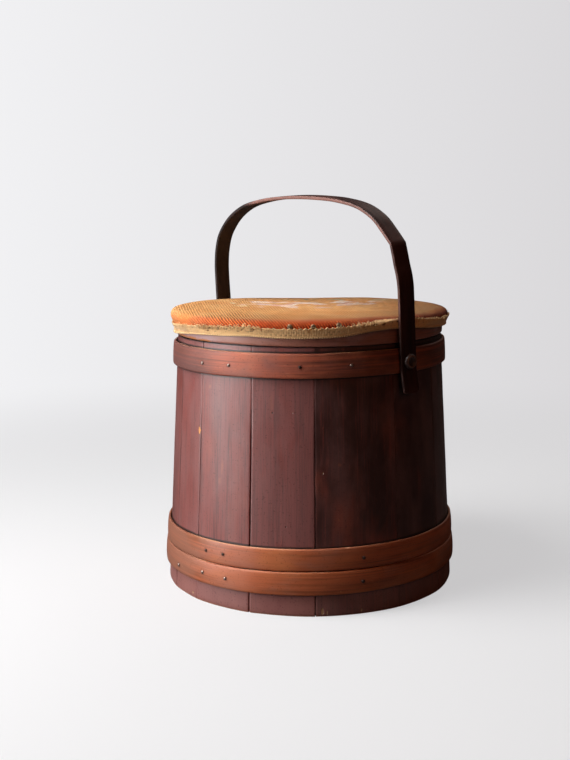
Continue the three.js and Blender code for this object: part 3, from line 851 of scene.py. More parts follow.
@dataclass(frozen=True)
class Braid:
    """Woven cotton gimp, straw-coloured, with dirt in patches and painted shade in its hollows."""

    name: str
    slot: str
    body: str
    pale: str
    dirt_and_hollow_shade: str
    rib: float  # spacing of the woven ribs, mm
    relief: float = 0.25
    fluff: float = 1.2  # size of the cotton's tufts, mm
    patch: float = 16.0  # and of its dirty patches

    def build(self) -> Material:
        """Make the material.

        Returns:
            The material.
        """
        material, tree = new_material(self.name)
        grain = add_node(tree, "Attribute", attribute_name="grain").outputs["Vector"]
        wear = add_node(tree, "Attribute", attribute_name="wear").outputs["Fac"]
        along = add_node(tree, "SeparateXYZ", {0: grain}).outputs["X"]
        turn = {0: along, 1: FULL_TURN / (self.rib * MM)}
        rows = add_node(tree, "Math", turn, operation="MULTIPLY")
        rib = add_node(tree, "Math", {0: rows}, operation="COSINE")
        rib = add_node(tree, "Math", {0: rib, 1: 0.5, 2: 0.5}, operation="MULTIPLY_ADD")
        fluff, dirt = (
            add_node(tree, "TexNoise", {"Vector": grain, "Scale": 1 / (size * MM), "Detail": detail})
            for size, detail in ((self.fluff, 4.0), (self.patch, 3.0))
        )
        mix = {"Factor": fluff, "A": linear(self.body), "B": linear(self.pale)}
        colour = add_node(tree, "Mix", mix, data_type="RGBA")
        # dirt lies in patches, and painted shade in the hollows that the mesh carries and between the ribs
        dark = add_node(tree, "Math", {0: dirt, 1: 0.7, 2: wear}, operation="MULTIPLY_ADD")
        dark = add_node(tree, "Math", {0: rib, 1: -0.2, 2: dark}, operation="MULTIPLY_ADD")
        limits = {"Value": dark, "From Min": 0.3, "From Max": 1.0, "To Max": 0.95}
        share = add_node(tree, "MapRange", limits, interpolation_type="SMOOTHSTEP")
        mix = {"Factor": share, "A": colour, "B": linear(self.dirt_and_hollow_shade)}
        height = add_node(tree, "Math", {0: fluff, 1: 0.6, 2: rib}, operation="MULTIPLY_ADD")
        bump = {"Strength": 0.9, "Distance": self.relief * MM, "Height": height}
        look = {
            "Base Color": add_node(tree, "Mix", mix, data_type="RGBA"),
            "Normal": add_node(tree, "Bump", bump), "Roughness": 0.9,
            "Specular IOR Level": 0.15, "Sheen Weight": 0.35, "Sheen Roughness": 0.5,
        }
        add_node(tree, "OutputMaterial", {"Surface": add_node(tree, "BsdfPrincipled", look)})
        return material


# The bucket's own sizes, shared by what sits on it, in mm

FOOT_RADIUS = 140.0
TAPER = 13.07
STAVE_LENGTH = 249.0
CLEARANCE = 0.3
FACET_STRETCH = 1 / math.cos(FULL_TURN / 120)  # from a flat of the solids out to its corner
PIVOT_HEIGHT = 224.0
BAND_LOW = 240.5
BAND_INSIDE = 125.7
GIMP_WIDTH = 8.3


def shell_radius(height: Any) -> Any:
    """Give the staves' outer radius at a height, mm."""
    return FOOT_RADIUS - TAPER * height / STAVE_LENGTH


def settle(made: Object, body: str, finish: Any, material: Material, *nodes: str) -> None:
    """Dress a piece, let it ride on its body and hide the solids that it stands for.

    Args:
        made: the piece.
        body: the body that it moves with.
        finish: the finish, whose name goes into the log.
        material: the finish's material.
        nodes: the solids that it replaces.
    """
    made.data.materials.append(material)
    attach(made, body)
    if nodes:
        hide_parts(*nodes)
    log.info("%s rides on %s with %s", made.name, body, finish.name)


def dress_solid(node: str, material: Material) -> None:
    """Give a solid that stays in view its finish.

    Args:
        node: the solid's name.
        material: the finish's material.
    """
    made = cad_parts[node]
    if made.material_slots:
        made.material_slots[0].material = material
    else:
        made.data.materials.append(material)
    log.info("%s keeps its solid with %s", node, material.name)


@dataclass
class Tack:
    """A tack through a hoop, by its angle on the bucket and its height as a share of the hoop."""

    hoop: str
    angle_deg: float
    height_share: float
    bright: bool = False


TACKS = [
    Tack("top", -88.2, 0.44, True), Tack("top", -74, 0.46, True), Tack("top", -44.8, 0.48),
    Tack("top", -25, 0.5, True), Tack("lower", -83.6, 0.5), Tack("lower", -75.1, 0.5),
    Tack("lower", -21.2, 0.5), Tack("foot", -101.3, 0.36, True), Tack("foot", -85, 0.5, True),
    Tack("foot", -73.8, 0.46, True), Tack("foot", -21.7, 0.5), Tack("top", 137, 0.5),
    Tack("top", 143, 0.5), Tack("lower", 137, 0.5), Tack("lower", 143, 0.5), Tack("foot", 137, 0.5),
    Tack("foot", 143, 0.5),
]


@dataclass
class Seam:
    """How far a joint between two staves has opened, mm, at the foot and at the mouth."""

    low: float = 0.35
    high: float = 0.35


@dataclass
class Staves:
    """The tapered, coopered shell, each stave shaved round outside and a little shrunk."""

    start_deg: float = -5.6
    widths_deg: tuple[float, ...] = (25.1, 26, 23, 28.5, 24, 27, 19.5, 28, 26, 31.3, 17.1, 25.7, 25.2, 33.6)
    wall: float = 11.0
    tongue_width: float = 2.4
    tongue_depth: float = 2.0
    tongue_inset: float = 4.8
    tongue_chamfer: float = 0.5
    croze_low: float = 19.0
    croze_high: float = 25.0
    croze_depth: float = 3.5
    neck_radius: float = 125.1
    shoulder: float = 240.2
    flatness: float = 0.55  # how far a stave's middle lies inside the true circle
    wave: float = 0.16
    foot_levels: tuple[float, ...] = (0, 0.35, 1.1, 2.4)
    foot_drop: float = 0.7  # how far the foot's outer edge is eased, and up to what height
    foot_reach: float = 1.6
    arris_spots: tuple[float, ...] = (0, 0.12, 0.4, 0.9, 1.8)  # points beside a seam, by distance
    arris_drop: float = 0.25  # how far a stave's edge falls away, and over what width
    arris_reach: float = 0.42
    face_inset: float = 3.4
    face_points: int = 15
    inner_points: int = 9
    slack: float = 0.1  # how far the sides lie back from the solids'
    opening: tuple[float, float] = (150.0, 205.0)  # heights between which seams change
    foot_dust_and_sheen: tuple[float, float] = (17.0, 24.0)  # heights between which the finish turns dusty and paler: dust, and painted light from the white table
    seams: dict[int, Seam] = field(
        default_factory=lambda: {
            0: Seam(0.3, 0.2), 1: Seam(0.45, 0.4), 10: Seam(0.45, 0.4), 11: Seam(0.5, 0.4),
            12: Seam(1.5, 0.15), 13: Seam(0.75, 0.12),
        }
    )
    # tone, light or dark, and warmth, orange or grey-mauve, of the staves in view: painted light and shade,
    # greyer as a painted sheen towards the window and darker as painted shade on the side away from it
    painted_light_tones: dict[int, tuple[float, float]] = field(
        default_factory=lambda: {
            9: (-0.2, -0.6), 10: (0.2, -0.7), 11: (0.1, -0.25), 12: (0.1, -0.7), 13: (-1.5, -0.1),
            0: (-1.9, -0.3), 1: (-1.6, -0.5), 2: (-1.0, 0.0),
        }
    )

    def levels(self) -> np.ndarray:
        """Choose the heights of the rings, close together where the form changes.

        Returns:
            The heights from the foot up, mm.
        """
        fine = [*self.foot_levels, self.croze_low, self.croze_low + 1, self.croze_high - 1, self.croze_high]
        fine += [self.shoulder - 0.4, self.shoulder, STAVE_LENGTH - 0.8, STAVE_LENGTH]
        even = np.arange(6, self.shoulder - 2, 4.5)
        for hoop in HOOPS.values():
            fine += list(hoop.low + hoop.width + np.arange(-3, 5))
            fine += list(hoop.low - np.arange(0, 4))
        return np.unique(np.concatenate([fine, even[(even < 17) | (even > 27)]]).round(1))

    def section(self, number: int, height: float, start: float, end: float) -> tuple[np.ndarray, ...]:
        """Give one ring of a stave.

        Args:
            number: the stave's place round the shell.
            height: the ring's height.
            start: polar angle of the stave's grooved edge, radians.
            end: polar angle of its tongued edge.

        Returns:
            The ring's points, their grain and their wear.
        """
        neck = height > self.shoulder - 0.1
        shaved = 0 if neck else 1  # the neck is turned true
        outer = self.neck_radius if neck else shell_radius(height)
        foot_ease = self.foot_drop * (1 - ease(height, 0, self.foot_reach))
        croze = self.croze_depth * ease(height, self.croze_low, self.croze_low + 1)
        croze *= 1 - ease(height, self.croze_high - 1, self.croze_high)
        inner = shell_radius(height) - self.wall + croze
        middle = shell_radius(height) - self.tongue_inset
        share = ease(height, *self.opening)
        near = self.seams.get(number, Seam())
        far = self.seams.get((number + 1) % len(self.widths_deg), Seam())
        gaps = [(1 - share) * seam.low / 2 + share * seam.high / 2 for seam in (near, far)]
        width = outer * (end - start)
        rim = np.array(self.arris_spots)
        flat = np.linspace(self.face_inset, width - self.face_inset, self.face_points)
        spots = np.concatenate([rim, flat, width - rim[::-1]])
        inset = np.minimum(spots, width - spots)
        drop = self.arris_drop * np.exp(-((inset / self.arris_reach) ** 1.4))
        reach = spots / width * 2 - 1
        sag = self.flatness * (1 - reach**2) * shaved
        wave = self.wave * unevenness(40 + number, spots, height, 90) * shaved
        squeeze = gaps[0] + spots / width * (width - gaps[0] - gaps[1])
        face = around(outer - foot_ease - drop - sag + wave, start + squeeze / outer, height)
        back, half = CLEARANCE / 2 + self.slack, self.tongue_width / 2
        side_far = self.edge(middle, end, height, -back, half)
        ends = end - 2 * self.slack / inner, start + 2 * self.slack / inner
        inside = around(inner, np.linspace(*ends, self.inner_points), height)
        side_near = self.edge(middle, start, height, back, half + CLEARANCE)[::-1]
        points = np.concatenate([face, side_far, inside, side_near])
        # each stave's grain lies far from the others'
        across = np.arctan2(points[:, 1], points[:, 0])
        across = np.unwrap(across - start, discont=math.pi) * FOOT_RADIUS + number * 217.0
        depth = np.hypot(points[:, 0], points[:, 1]) - outer
        grain = triples(height + number * 613.0, across, depth)
        wear = np.zeros(len(points))
        rubbed = 0.35 * max(0.0, float(unevenness(90 + number, np.array([height]), 0.0, 70)[0]))
        wear[: len(spots)] = rubbed * np.exp(-inset / 0.8)
        wear[: len(spots)] += 0.9 * (1 - ease(height, 0.2, 3.5))
        return points, grain, wear

    def grime_and_shade(self, points: np.ndarray) -> np.ndarray:
        """Give how dark each point is painted: grime and painted shade where a hoop meets the staves, a
        painted shadow below the top hoop, and painted shade under the lid.

        Args:
            points: the points, mm.

        Returns:
            The grime and painted shade at each, where 1 is thick.
        """
        angles = np.arctan2(points[..., 1], points[..., 0])
        # painted shade under the lid band, at the staves' neck
        total = 0.8 * ease(points[..., 2], self.shoulder - 3, self.shoulder)
        for hoop in HOOPS.values():
            low = hoop.low_at(angles)
            above = points[..., 2] - low - hoop.width
            below = low - points[..., 2]
            total = total + np.exp(-((above / 1.7) ** 2)) + 0.6 * np.exp(-((below / 1.4) ** 2))
            # a painted shadow of the top hoop on the staves below it
            total = total + 0.3 * np.exp(-np.abs(below) / 9) * (below > 0) * (hoop is HOOPS["top"])
        return total

    def edge(self, middle: float, angle: float, height: float, shift: float, half: float) -> np.ndarray:
        """Give the four points of a tongue or groove, from the outside in.

        Args:
            middle: the radius of its middle.
            angle: the polar angle of the stave's side.
            height: the ring's height.
            shift: how far the side lies from that angle along the circle.
            half: half of its width.

        Returns:
            The points, mm.
        """
        deep = shift + self.tongue_depth
        outs = np.array([half, half - self.tongue_chamfer, self.tongue_chamfer - half, -half])
        return around(middle + outs, angle, height, np.array([shift, deep, deep, shift]))

    def build(self, finish: AgedWood) -> None:
        """Build every stave.

        Args:
            finish: the staves' finish.
        """
        material = finish.build()
        picks = np.random.default_rng(11)
        edge_deg = self.start_deg
        for number, width_deg in enumerate(self.widths_deg):
            start, end = math.radians(edge_deg), math.radians(edge_deg + width_deg)
            rings = [self.section(number, height, start, end) for height in self.levels()]
            points, grain, wear = (np.stack(layer) for layer in zip(*rings))
            # staves in view take their painted light and shade, the others a random tone
            tone, warmth = self.painted_light_tones.get(number, tuple(picks.uniform(-0.4, 0.4, 2)))
            skin = Skin(points, {"grain": grain, "wear": wear}, sharp_deg=42)
            # below the foot hoop the staves are paler, greyer and dustier: dust, and painted light from the
            # white table
            foot = 1 - ease(points[..., 2], *self.foot_dust_and_sheen)
            skin.carried["tone"] = tone + 0.9 * foot
            skin.carried["warmth"] = warmth - 1.0 * foot
            skin.carried["dust_and_sheen"] = 0.5 * foot
            skin.carried["grime_and_shade"] = self.grime_and_shade(points)
            made = skin.make(f"shaved_stave_{number + 1:02d}")
            settle(made, "bucket", finish, material, f"stave_{number + 1:02d}")
            edge_deg += width_deg


@dataclass
class BentStrip:
    """A strip of thin wood bent into a hoop, its two ends shaved and lapped."""

    name: str
    node: str
    body: str
    low: float
    width: float
    thickness: float
    rise: float
    seat: Callable[[Any], Any]
    seed: int
    bulge: float = 0.15  # how far the outside is rounded out, as a share of the thickness
    lap_start_deg: float = 132.0
    lap_deg: float = 18.0
    scarf_share: float = 0.12
    rise_toward_deg: float = 50.0
    sway: float = 0.3  # unevenness of the strip's edges
    ripple: float = 0.08  # and of its face
    rings: int = 337
    corner: float = 0.8
    # tone, warmth and dust by angle to the right of the photographed front: painted light and shade,
    # brighter and paler as a painted highlight where the sheen falls, darker and greyer away from it
    painted_light_tones: tuple[tuple[float, float, float, float], ...] = (
        (-180, 0, 0, 0), (-115, -1.1, -2.2, 0.15), (-78, -1.1, -2.0, 0.1), (-56, -0.8, -0.7, 0.2),
        (-40, 0.0, 0.0, 0.5), (-26, 0.7, 0.2, 0.5), (-10, 0.4, 0.2, 0.1), (30, -0.2, 0, 0), (180, 0, 0, 0),
    )

    def low_at(self, angle: Any) -> Any:
        """Give the height of the strip's lower edge at a polar angle, mm."""
        return self.low + self.rise * np.cos(angle - math.radians(self.rise_toward_deg))

    def height_at(self, angle: float, share: float) -> float:
        """Give the height of a point on the strip by its share of the way up from the lower edge."""
        return float(self.low_at(angle)) + self.width * share

    def outside(self, angle: float, height: float) -> float:
        """Find the strip's outer face, which lies further out at its lap.

        Args:
            angle: polar angle, radians.
            height: height above the foot, mm.

        Returns:
            The face's radius, mm.
        """
        turn = (angle - math.radians(self.lap_start_deg)) % FULL_TURN
        share = turn / math.radians(self.lap_deg)
        extra = CLEARANCE + self.thickness * self.scarf_share if share < 1 else 0
        return self.seat(height) * FACET_STRETCH + self.thickness * (1 + self.bulge) + extra

    def build(self, finish: AgedWood) -> None:
        """Build the strip as one long skin round the bucket.

        Args:
            finish: the strip's finish.
        """
        start, lap = math.radians(self.lap_start_deg), math.radians(self.lap_deg)
        angles = start + np.linspace(0, FULL_TURN + lap, self.rings)
        turn = angles - start
        over = turn > FULL_TURN - 1e-6
        lap_share = np.where(over, (turn - FULL_TURN) / lap, turn / lap)
        shaved = self.scarf_share + (1 - self.scarf_share) * np.clip(lap_share, 0, 1)
        under = np.minimum(self.thickness * shaved, self.thickness)
        thick = np.where(over, self.thickness * (1 + self.scarf_share - shaved), under)
        stand_off = np.where(over, under + CLEARANCE, 0.0)
        corner = self.corner / self.width
        # share across the width and share of the thickness, round the strip's section
        half_shares = [
            (0.0, 0.3), (corner * 0.35, 0.72), (corner, 0.92), (corner * 2.4, 1.0),
            (0.3, 1 + self.bulge * 0.8),
        ]
        outer = [*half_shares, (0.5, 1 + self.bulge), *[(1 - a, b) for a, b in half_shares[::-1]]]
        across, out = np.array([(0.03, 0.0), *outer, (0.97, 0.0), (0.7, 0.0), (0.3, 0.0)]).T
        girth = angles * FOOT_RADIUS
        lows = self.low_at(angles) + self.sway * unevenness(self.seed, girth, 0.0, 190)
        widths = self.width + self.sway * unevenness(self.seed + 1, girth, 0.0, 150)
        heights = lows[:, None] + widths[:, None] * across
        inside = self.seat(heights) * FACET_STRETCH + stand_off[:, None]
        ripple = self.ripple * unevenness(self.seed + 2, girth[:, None], heights, 60) * out
        points = around(inside + thick[:, None] * out + ripple, angles[:, None], heights)
        grain = triples(girth[:, None] + self.seed * 331.0, across * self.width, thick[:, None] * out)
        edges = np.minimum(across, 1 - across) * self.width
        rubbed = np.exp(-edges / 0.7) * np.where(across > 0.5, 1.0, 0.55) * (out > 0.2)
        patchy = 0.75 + 0.5 * unevenness(self.seed + 3, girth, 0.0, 120)
        skin = Skin(points, {"grain": grain, "wear": rubbed * patchy[:, None]}, sharp_deg=60)
        seen = front_angle(angles)[:, None]
        # painted light and shade by angle round the strip
        for column, key in enumerate(("tone", "warmth", "dust_and_sheen"), 1):
            shade = from_table(self.painted_light_tones, seen, column)
            skin.carried[key] = np.broadcast_to(shade, points.shape[:2])
        settle(skin.make(self.name), self.body, finish, finish.build(), self.node)


def hoop_seat(height: Any) -> Any:
    """Give the inner radius of a hoop driven on over the staves."""
    return shell_radius(height) + CLEARANCE


def band_seat(height: Any) -> Any:
    """Give the inner radius of the lid's band, which is the same all the way up."""
    return BAND_INSIDE + 0 * height


HOOPS = {
    "foot": BentStrip("riven_foot_hoop", "foot_hoop", "bucket", 20.0, 21.2, 2.9, 1.7, hoop_seat, 3),
    "lower": BentStrip("riven_lower_hoop", "lower_hoop", "bucket", 41.5, 20.2, 2.4, 1.7, hoop_seat, 5),
    "top": BentStrip(
        "riven_top_hoop", "top_hoop", "bucket", 212.7, 22.4, 2.9, 1.4, hoop_seat, 8, bulge=0.08,
        # the top hoop's own painted light and shade by angle
        painted_light_tones=(
            (-180, 0, 0, 0), (-115, -1.2, -2.2, 0), (-66, -1.2, -2.2, 0), (-50, -0.9, -1.2, 0),
            (-38, -0.1, -0.5, 0.3), (-24, 0.7, 0.0, 0.4), (-10, 0.2, 0.1, 0),
            (6, -0.9, 0.3, 0), (20, -1.3, 0.3, 0), (60, -1.2, 0, 0), (180, 0, 0, 0),
        ),
    ),
}


@dataclass
class TackHeads:
    """Hand-cut tacks: small domed heads, a little tilted, on square shanks."""

    radius: float = 1.55
    dome: float = 0.85
    shank: float = 0.6
    length: float = 7.5
    tilt: float = 0.14  # most that a tack stands askew, radians

    def build(self, dark: Metal, bright: Metal) -> None:
        """Drive each tack into its hoop.

        Args:
            dark: the finish of the black ones.
            bright: the finish of the rubbed ones.
        """
        materials = {True: bright.build(), False: dark.build()}
        picks = np.random.default_rng(23)
        for number, tack in enumerate(TACKS, 1):
            hoop = HOOPS[tack.hoop]
            angle = math.radians(tack.angle_deg)
            height = hoop.height_at(angle, tack.height_share)
            size = self.radius * picks.uniform(0.92, 1.1)
            profile = [
                [0, -self.length], [self.shank, -self.length * 0.6], [self.shank, 0], [size * 0.96, -0.05],
                [size, 0.12], [size * 0.9, self.dome * 0.5], [size * 0.6, self.dome * 0.86],
                [size * 0.25, self.dome], [0, self.dome],
            ]
            tilts = [Matrix.Rotation(picks.uniform(-self.tilt, self.tilt), 3, axis) for axis in "XY"]
            turn = np.array(facing(angle) @ (tilts[0] @ tilts[1]))
            seat = around(hoop.outside(angle, height) + CLEARANCE / 2, angle, height)
            made = turned(profile, 16).placed(turn, seat).make(f"driven_tack_{number:02d}")
            finish = bright if tack.bright else dark
            node = f"{tack.hoop}_hoop_tack_{number:02d}"
            settle(made, "bucket", finish, materials[tack.bright], node)


@dataclass
class Bail:
    """The bent bail, squared and eased along its edges, with the pins it swings on."""

    near_width: float = 18.8
    far_width: float = 17.4
    face_width: float = 17.5
    thickness: float = 3.1
    crown: float = 0.1  # how far its faces are rounded out
    sway: float = 0.18  # unevenness of its edges
    ripple: float = 0.07  # and of its faces
    arris: float = 0.75
    rise: float = 145.2
    foot: float = 28.6
    splay: float = 3.4
    splay_power: float = 1.15
    skew: float = 0.5
    lean_deg: float = 3.3
    inside: float = 132.37
    end_rounding: float = 3.0
    pin_radius: float = 3.8
    head_radius: float = 6.9
    head_height: float = 3.3
    tail: float = 21.0
    nick_place: float = -59.0
    nick_reach: float = 2.4
    # the middle line above the pins, in shares of the half span and of the rise: the far leg and
    # the arch up to the crease in the near shoulder, then the near leg below it
    arch_shares: tuple[tuple[float, float], ...] = (
        (-1, 0), (-1, 0.3), (-1, 0.42), (-0.996, 0.523), (-0.976, 0.627), (-0.934, 0.723),
        (-0.865, 0.799), (-0.771, 0.868), (-0.613, 0.937), (-0.397, 0.978), (-0.185, 0.995),
        (0.027, 1), (0.23, 0.994), (0.43, 0.978), (0.64, 0.937), (0.782, 0.868), (0.859, 0.799),
        (0.938, 0.72),
    )
    near_leg_shares: tuple[tuple[float, float], ...] = (
        (0.938, 0.72), (0.9576, 0.645), (0.972, 0.585), (0.986, 0.54), (0.998, 0.47), (1, 0.4),
        (1, 0.2), (1, 0),
    )

    def line(self) -> np.ndarray:
        """Lay out the middle of the strip from end to end.

        Returns:
            Its points as X and height above the pins, mm.
        """
        middle = self.inside + self.thickness / 2
        shares = np.linspace(1, 0, 15)
        depths = self.head_radius + (self.foot - self.head_radius) * shares
        leg = np.stack([-middle - self.splay * shares**self.splay_power, -depths], 1)
        span = np.array([middle, self.rise])
        arch = through(np.array(self.arch_shares) * span, 2.5)
        near = through(np.array(self.near_leg_shares) * span, 2.5)
        return np.concatenate([leg, arch, near[1:], leg[::-1] * [-1, 1]])

    def strip(self, finish: AgedWood) -> None:
        """Build the bent strip.

        Args:
            finish: its finish.
        """
        line = self.line()
        run = np.gradient(line, axis=0)
        run /= np.linalg.norm(run, axis=1, keepdims=True)
        along = run_lengths(line)
        ends = np.minimum(along, along[-1] - along)
        nearness = (line[:, 0] / line[:, 0].max() + 1) / 2
        width = self.far_width + (self.near_width - self.far_width) * nearness
        round_off = 1 - np.sqrt(1 - (1 - np.clip(ends / self.end_rounding, 0, 1)) ** 2)
        half_width = width / 2 - self.end_rounding * round_off
        half_width += self.sway * unevenness(31, along, 0.0, 130)
        half, eased = self.thickness / 2, self.arris * 2 / self.face_width
        # share of the half width and distance out, over the upper face from edge to edge
        corners = [
            (1, half - self.arris), (1 - 0.29 * eased, half - 0.29 * self.arris), (1 - eased, half),
            (0.5, half + 0.8 * self.crown),
        ]
        corners = np.array([*corners, (0, half + self.crown), *[(-a, b) for a, b in corners[::-1]]])
        shares, heights = np.concatenate([corners, corners[::-1] * [1, -1]]).T
        across = half_width[:, None] * shares + (self.skew * (0.5 - nearness))[:, None]
        out = heights + self.ripple * unevenness(33, along[:, None], across, 70)
        x = line[:, None, 0] - run[:, None, 1] * out
        rise = line[:, None, 1] + run[:, None, 0] * out
        lean = math.radians(self.lean_deg)
        y = across * math.cos(lean) - rise * math.sin(lean)
        z = across * math.sin(lean) + rise * math.cos(lean) + PIVOT_HEIGHT
        rubbed = np.exp(-(1 - np.abs(shares)) * self.near_width / 2 / 0.6)
        rubbed *= np.where(np.abs(heights) < half - 0.2, 0.8, 1.0)
        # hands have rubbed the arch most, then the near leg; places are X along the bail
        place = line[:, 0]
        grip = (0.15 + 0.85 * ease(place, -115, -35)) * (1 - 0.35 * ease(place, 118, 131))
        held = ease(place, -95, -60) * (1 - ease(place, 40, 90))
        wear = rubbed * (grip * (0.95 + 0.4 * unevenness(35, along, 0.0, 60)))[:, None]
        wear = wear * (1 - 0.3 * held)[:, None] + 0.5 * held[:, None]
        nick = np.exp(-(((place - self.nick_place) / self.nick_reach) ** 2)) * (line[:, 1] > 0)
        wear = wear + 1.3 * nick[:, None] * (shares < -0.9)
        skin = Skin(triples(x, y, z), {"grain": triples(along[:, None], across + 90, out), "wear": wear})
        skin.sharp_deg = 60
        # the far leg is painted darker, as painted shade
        for key, values in (("tone", (-2.8, -0.7, -0.3, -0.5)), ("warmth", (-0.8, -0.2, 0.0, 0.4))):
            shade = np.interp(nearness, (0.05, 0.3, 0.8, 1), values)
            skin.carried[key] = np.broadcast_to(shade[:, None], x.shape)
        settle(skin.make("bent_bail"), "bail", finish, finish.build(), "bail")

    def pins(self, finish: AgedWood) -> None:
        """Turn the two pins, with dished heads, that hold the bail to the shell.

        Args:
            finish: their finish.
        """
        material = finish.build()
        seat = self.inside + self.thickness + CLEARANCE
        end = shell_radius(PIVOT_HEIGHT) - self.tail
        head, tall = self.head_radius, self.head_height
        # the head's turning, in shares of its radius and height, from its rim to the dish's middle
        dish_shares = (
            (1, 0.4), (0.93, 0.75), (0.8, 0.97), (0.68, 1), (0.55, 0.88), (0.42, 0.66), (0.2, 0.6), (0, 0.6),
        )
        outline = [
            [0, end], [self.pin_radius - 0.6, end], [self.pin_radius, end + 0.8], [self.pin_radius, seat],
            [head - 0.3, seat], [head, seat + 0.4], *[[head * a, seat + tall * b] for a, b in dish_shares],
        ]
        for side, direction, grain in (("near", 0.0, 40.0), ("far", math.pi, 90.0)):
            skin = turned(outline, 48, grain)
            radii = np.hypot(skin.points[..., 0], skin.points[..., 1])
            on_head = skin.points[..., 2] > seat
            # the head's rim is rubbed light, also as a painted highlight, and its dish is darkened as painted
            # shade
            skin.carried["wear"] = 0.9 * np.exp(-(((radii - head * 0.72) / 1.1) ** 2)) * on_head
            skin.carried["tone"] = -1.2 * ((radii < head * 0.5) & on_head)
            skin.placed(np.array(facing(direction)), [0, 0, PIVOT_HEIGHT])
            settle(skin.make(f"turned_pin_{side}"), "bucket", finish, material, f"bail_pin_{side}")

    def build(self, strip: AgedWood, peg: AgedWood) -> None:
        """Build the bail and its pins."""
        self.strip(strip)
        self.pins(peg)


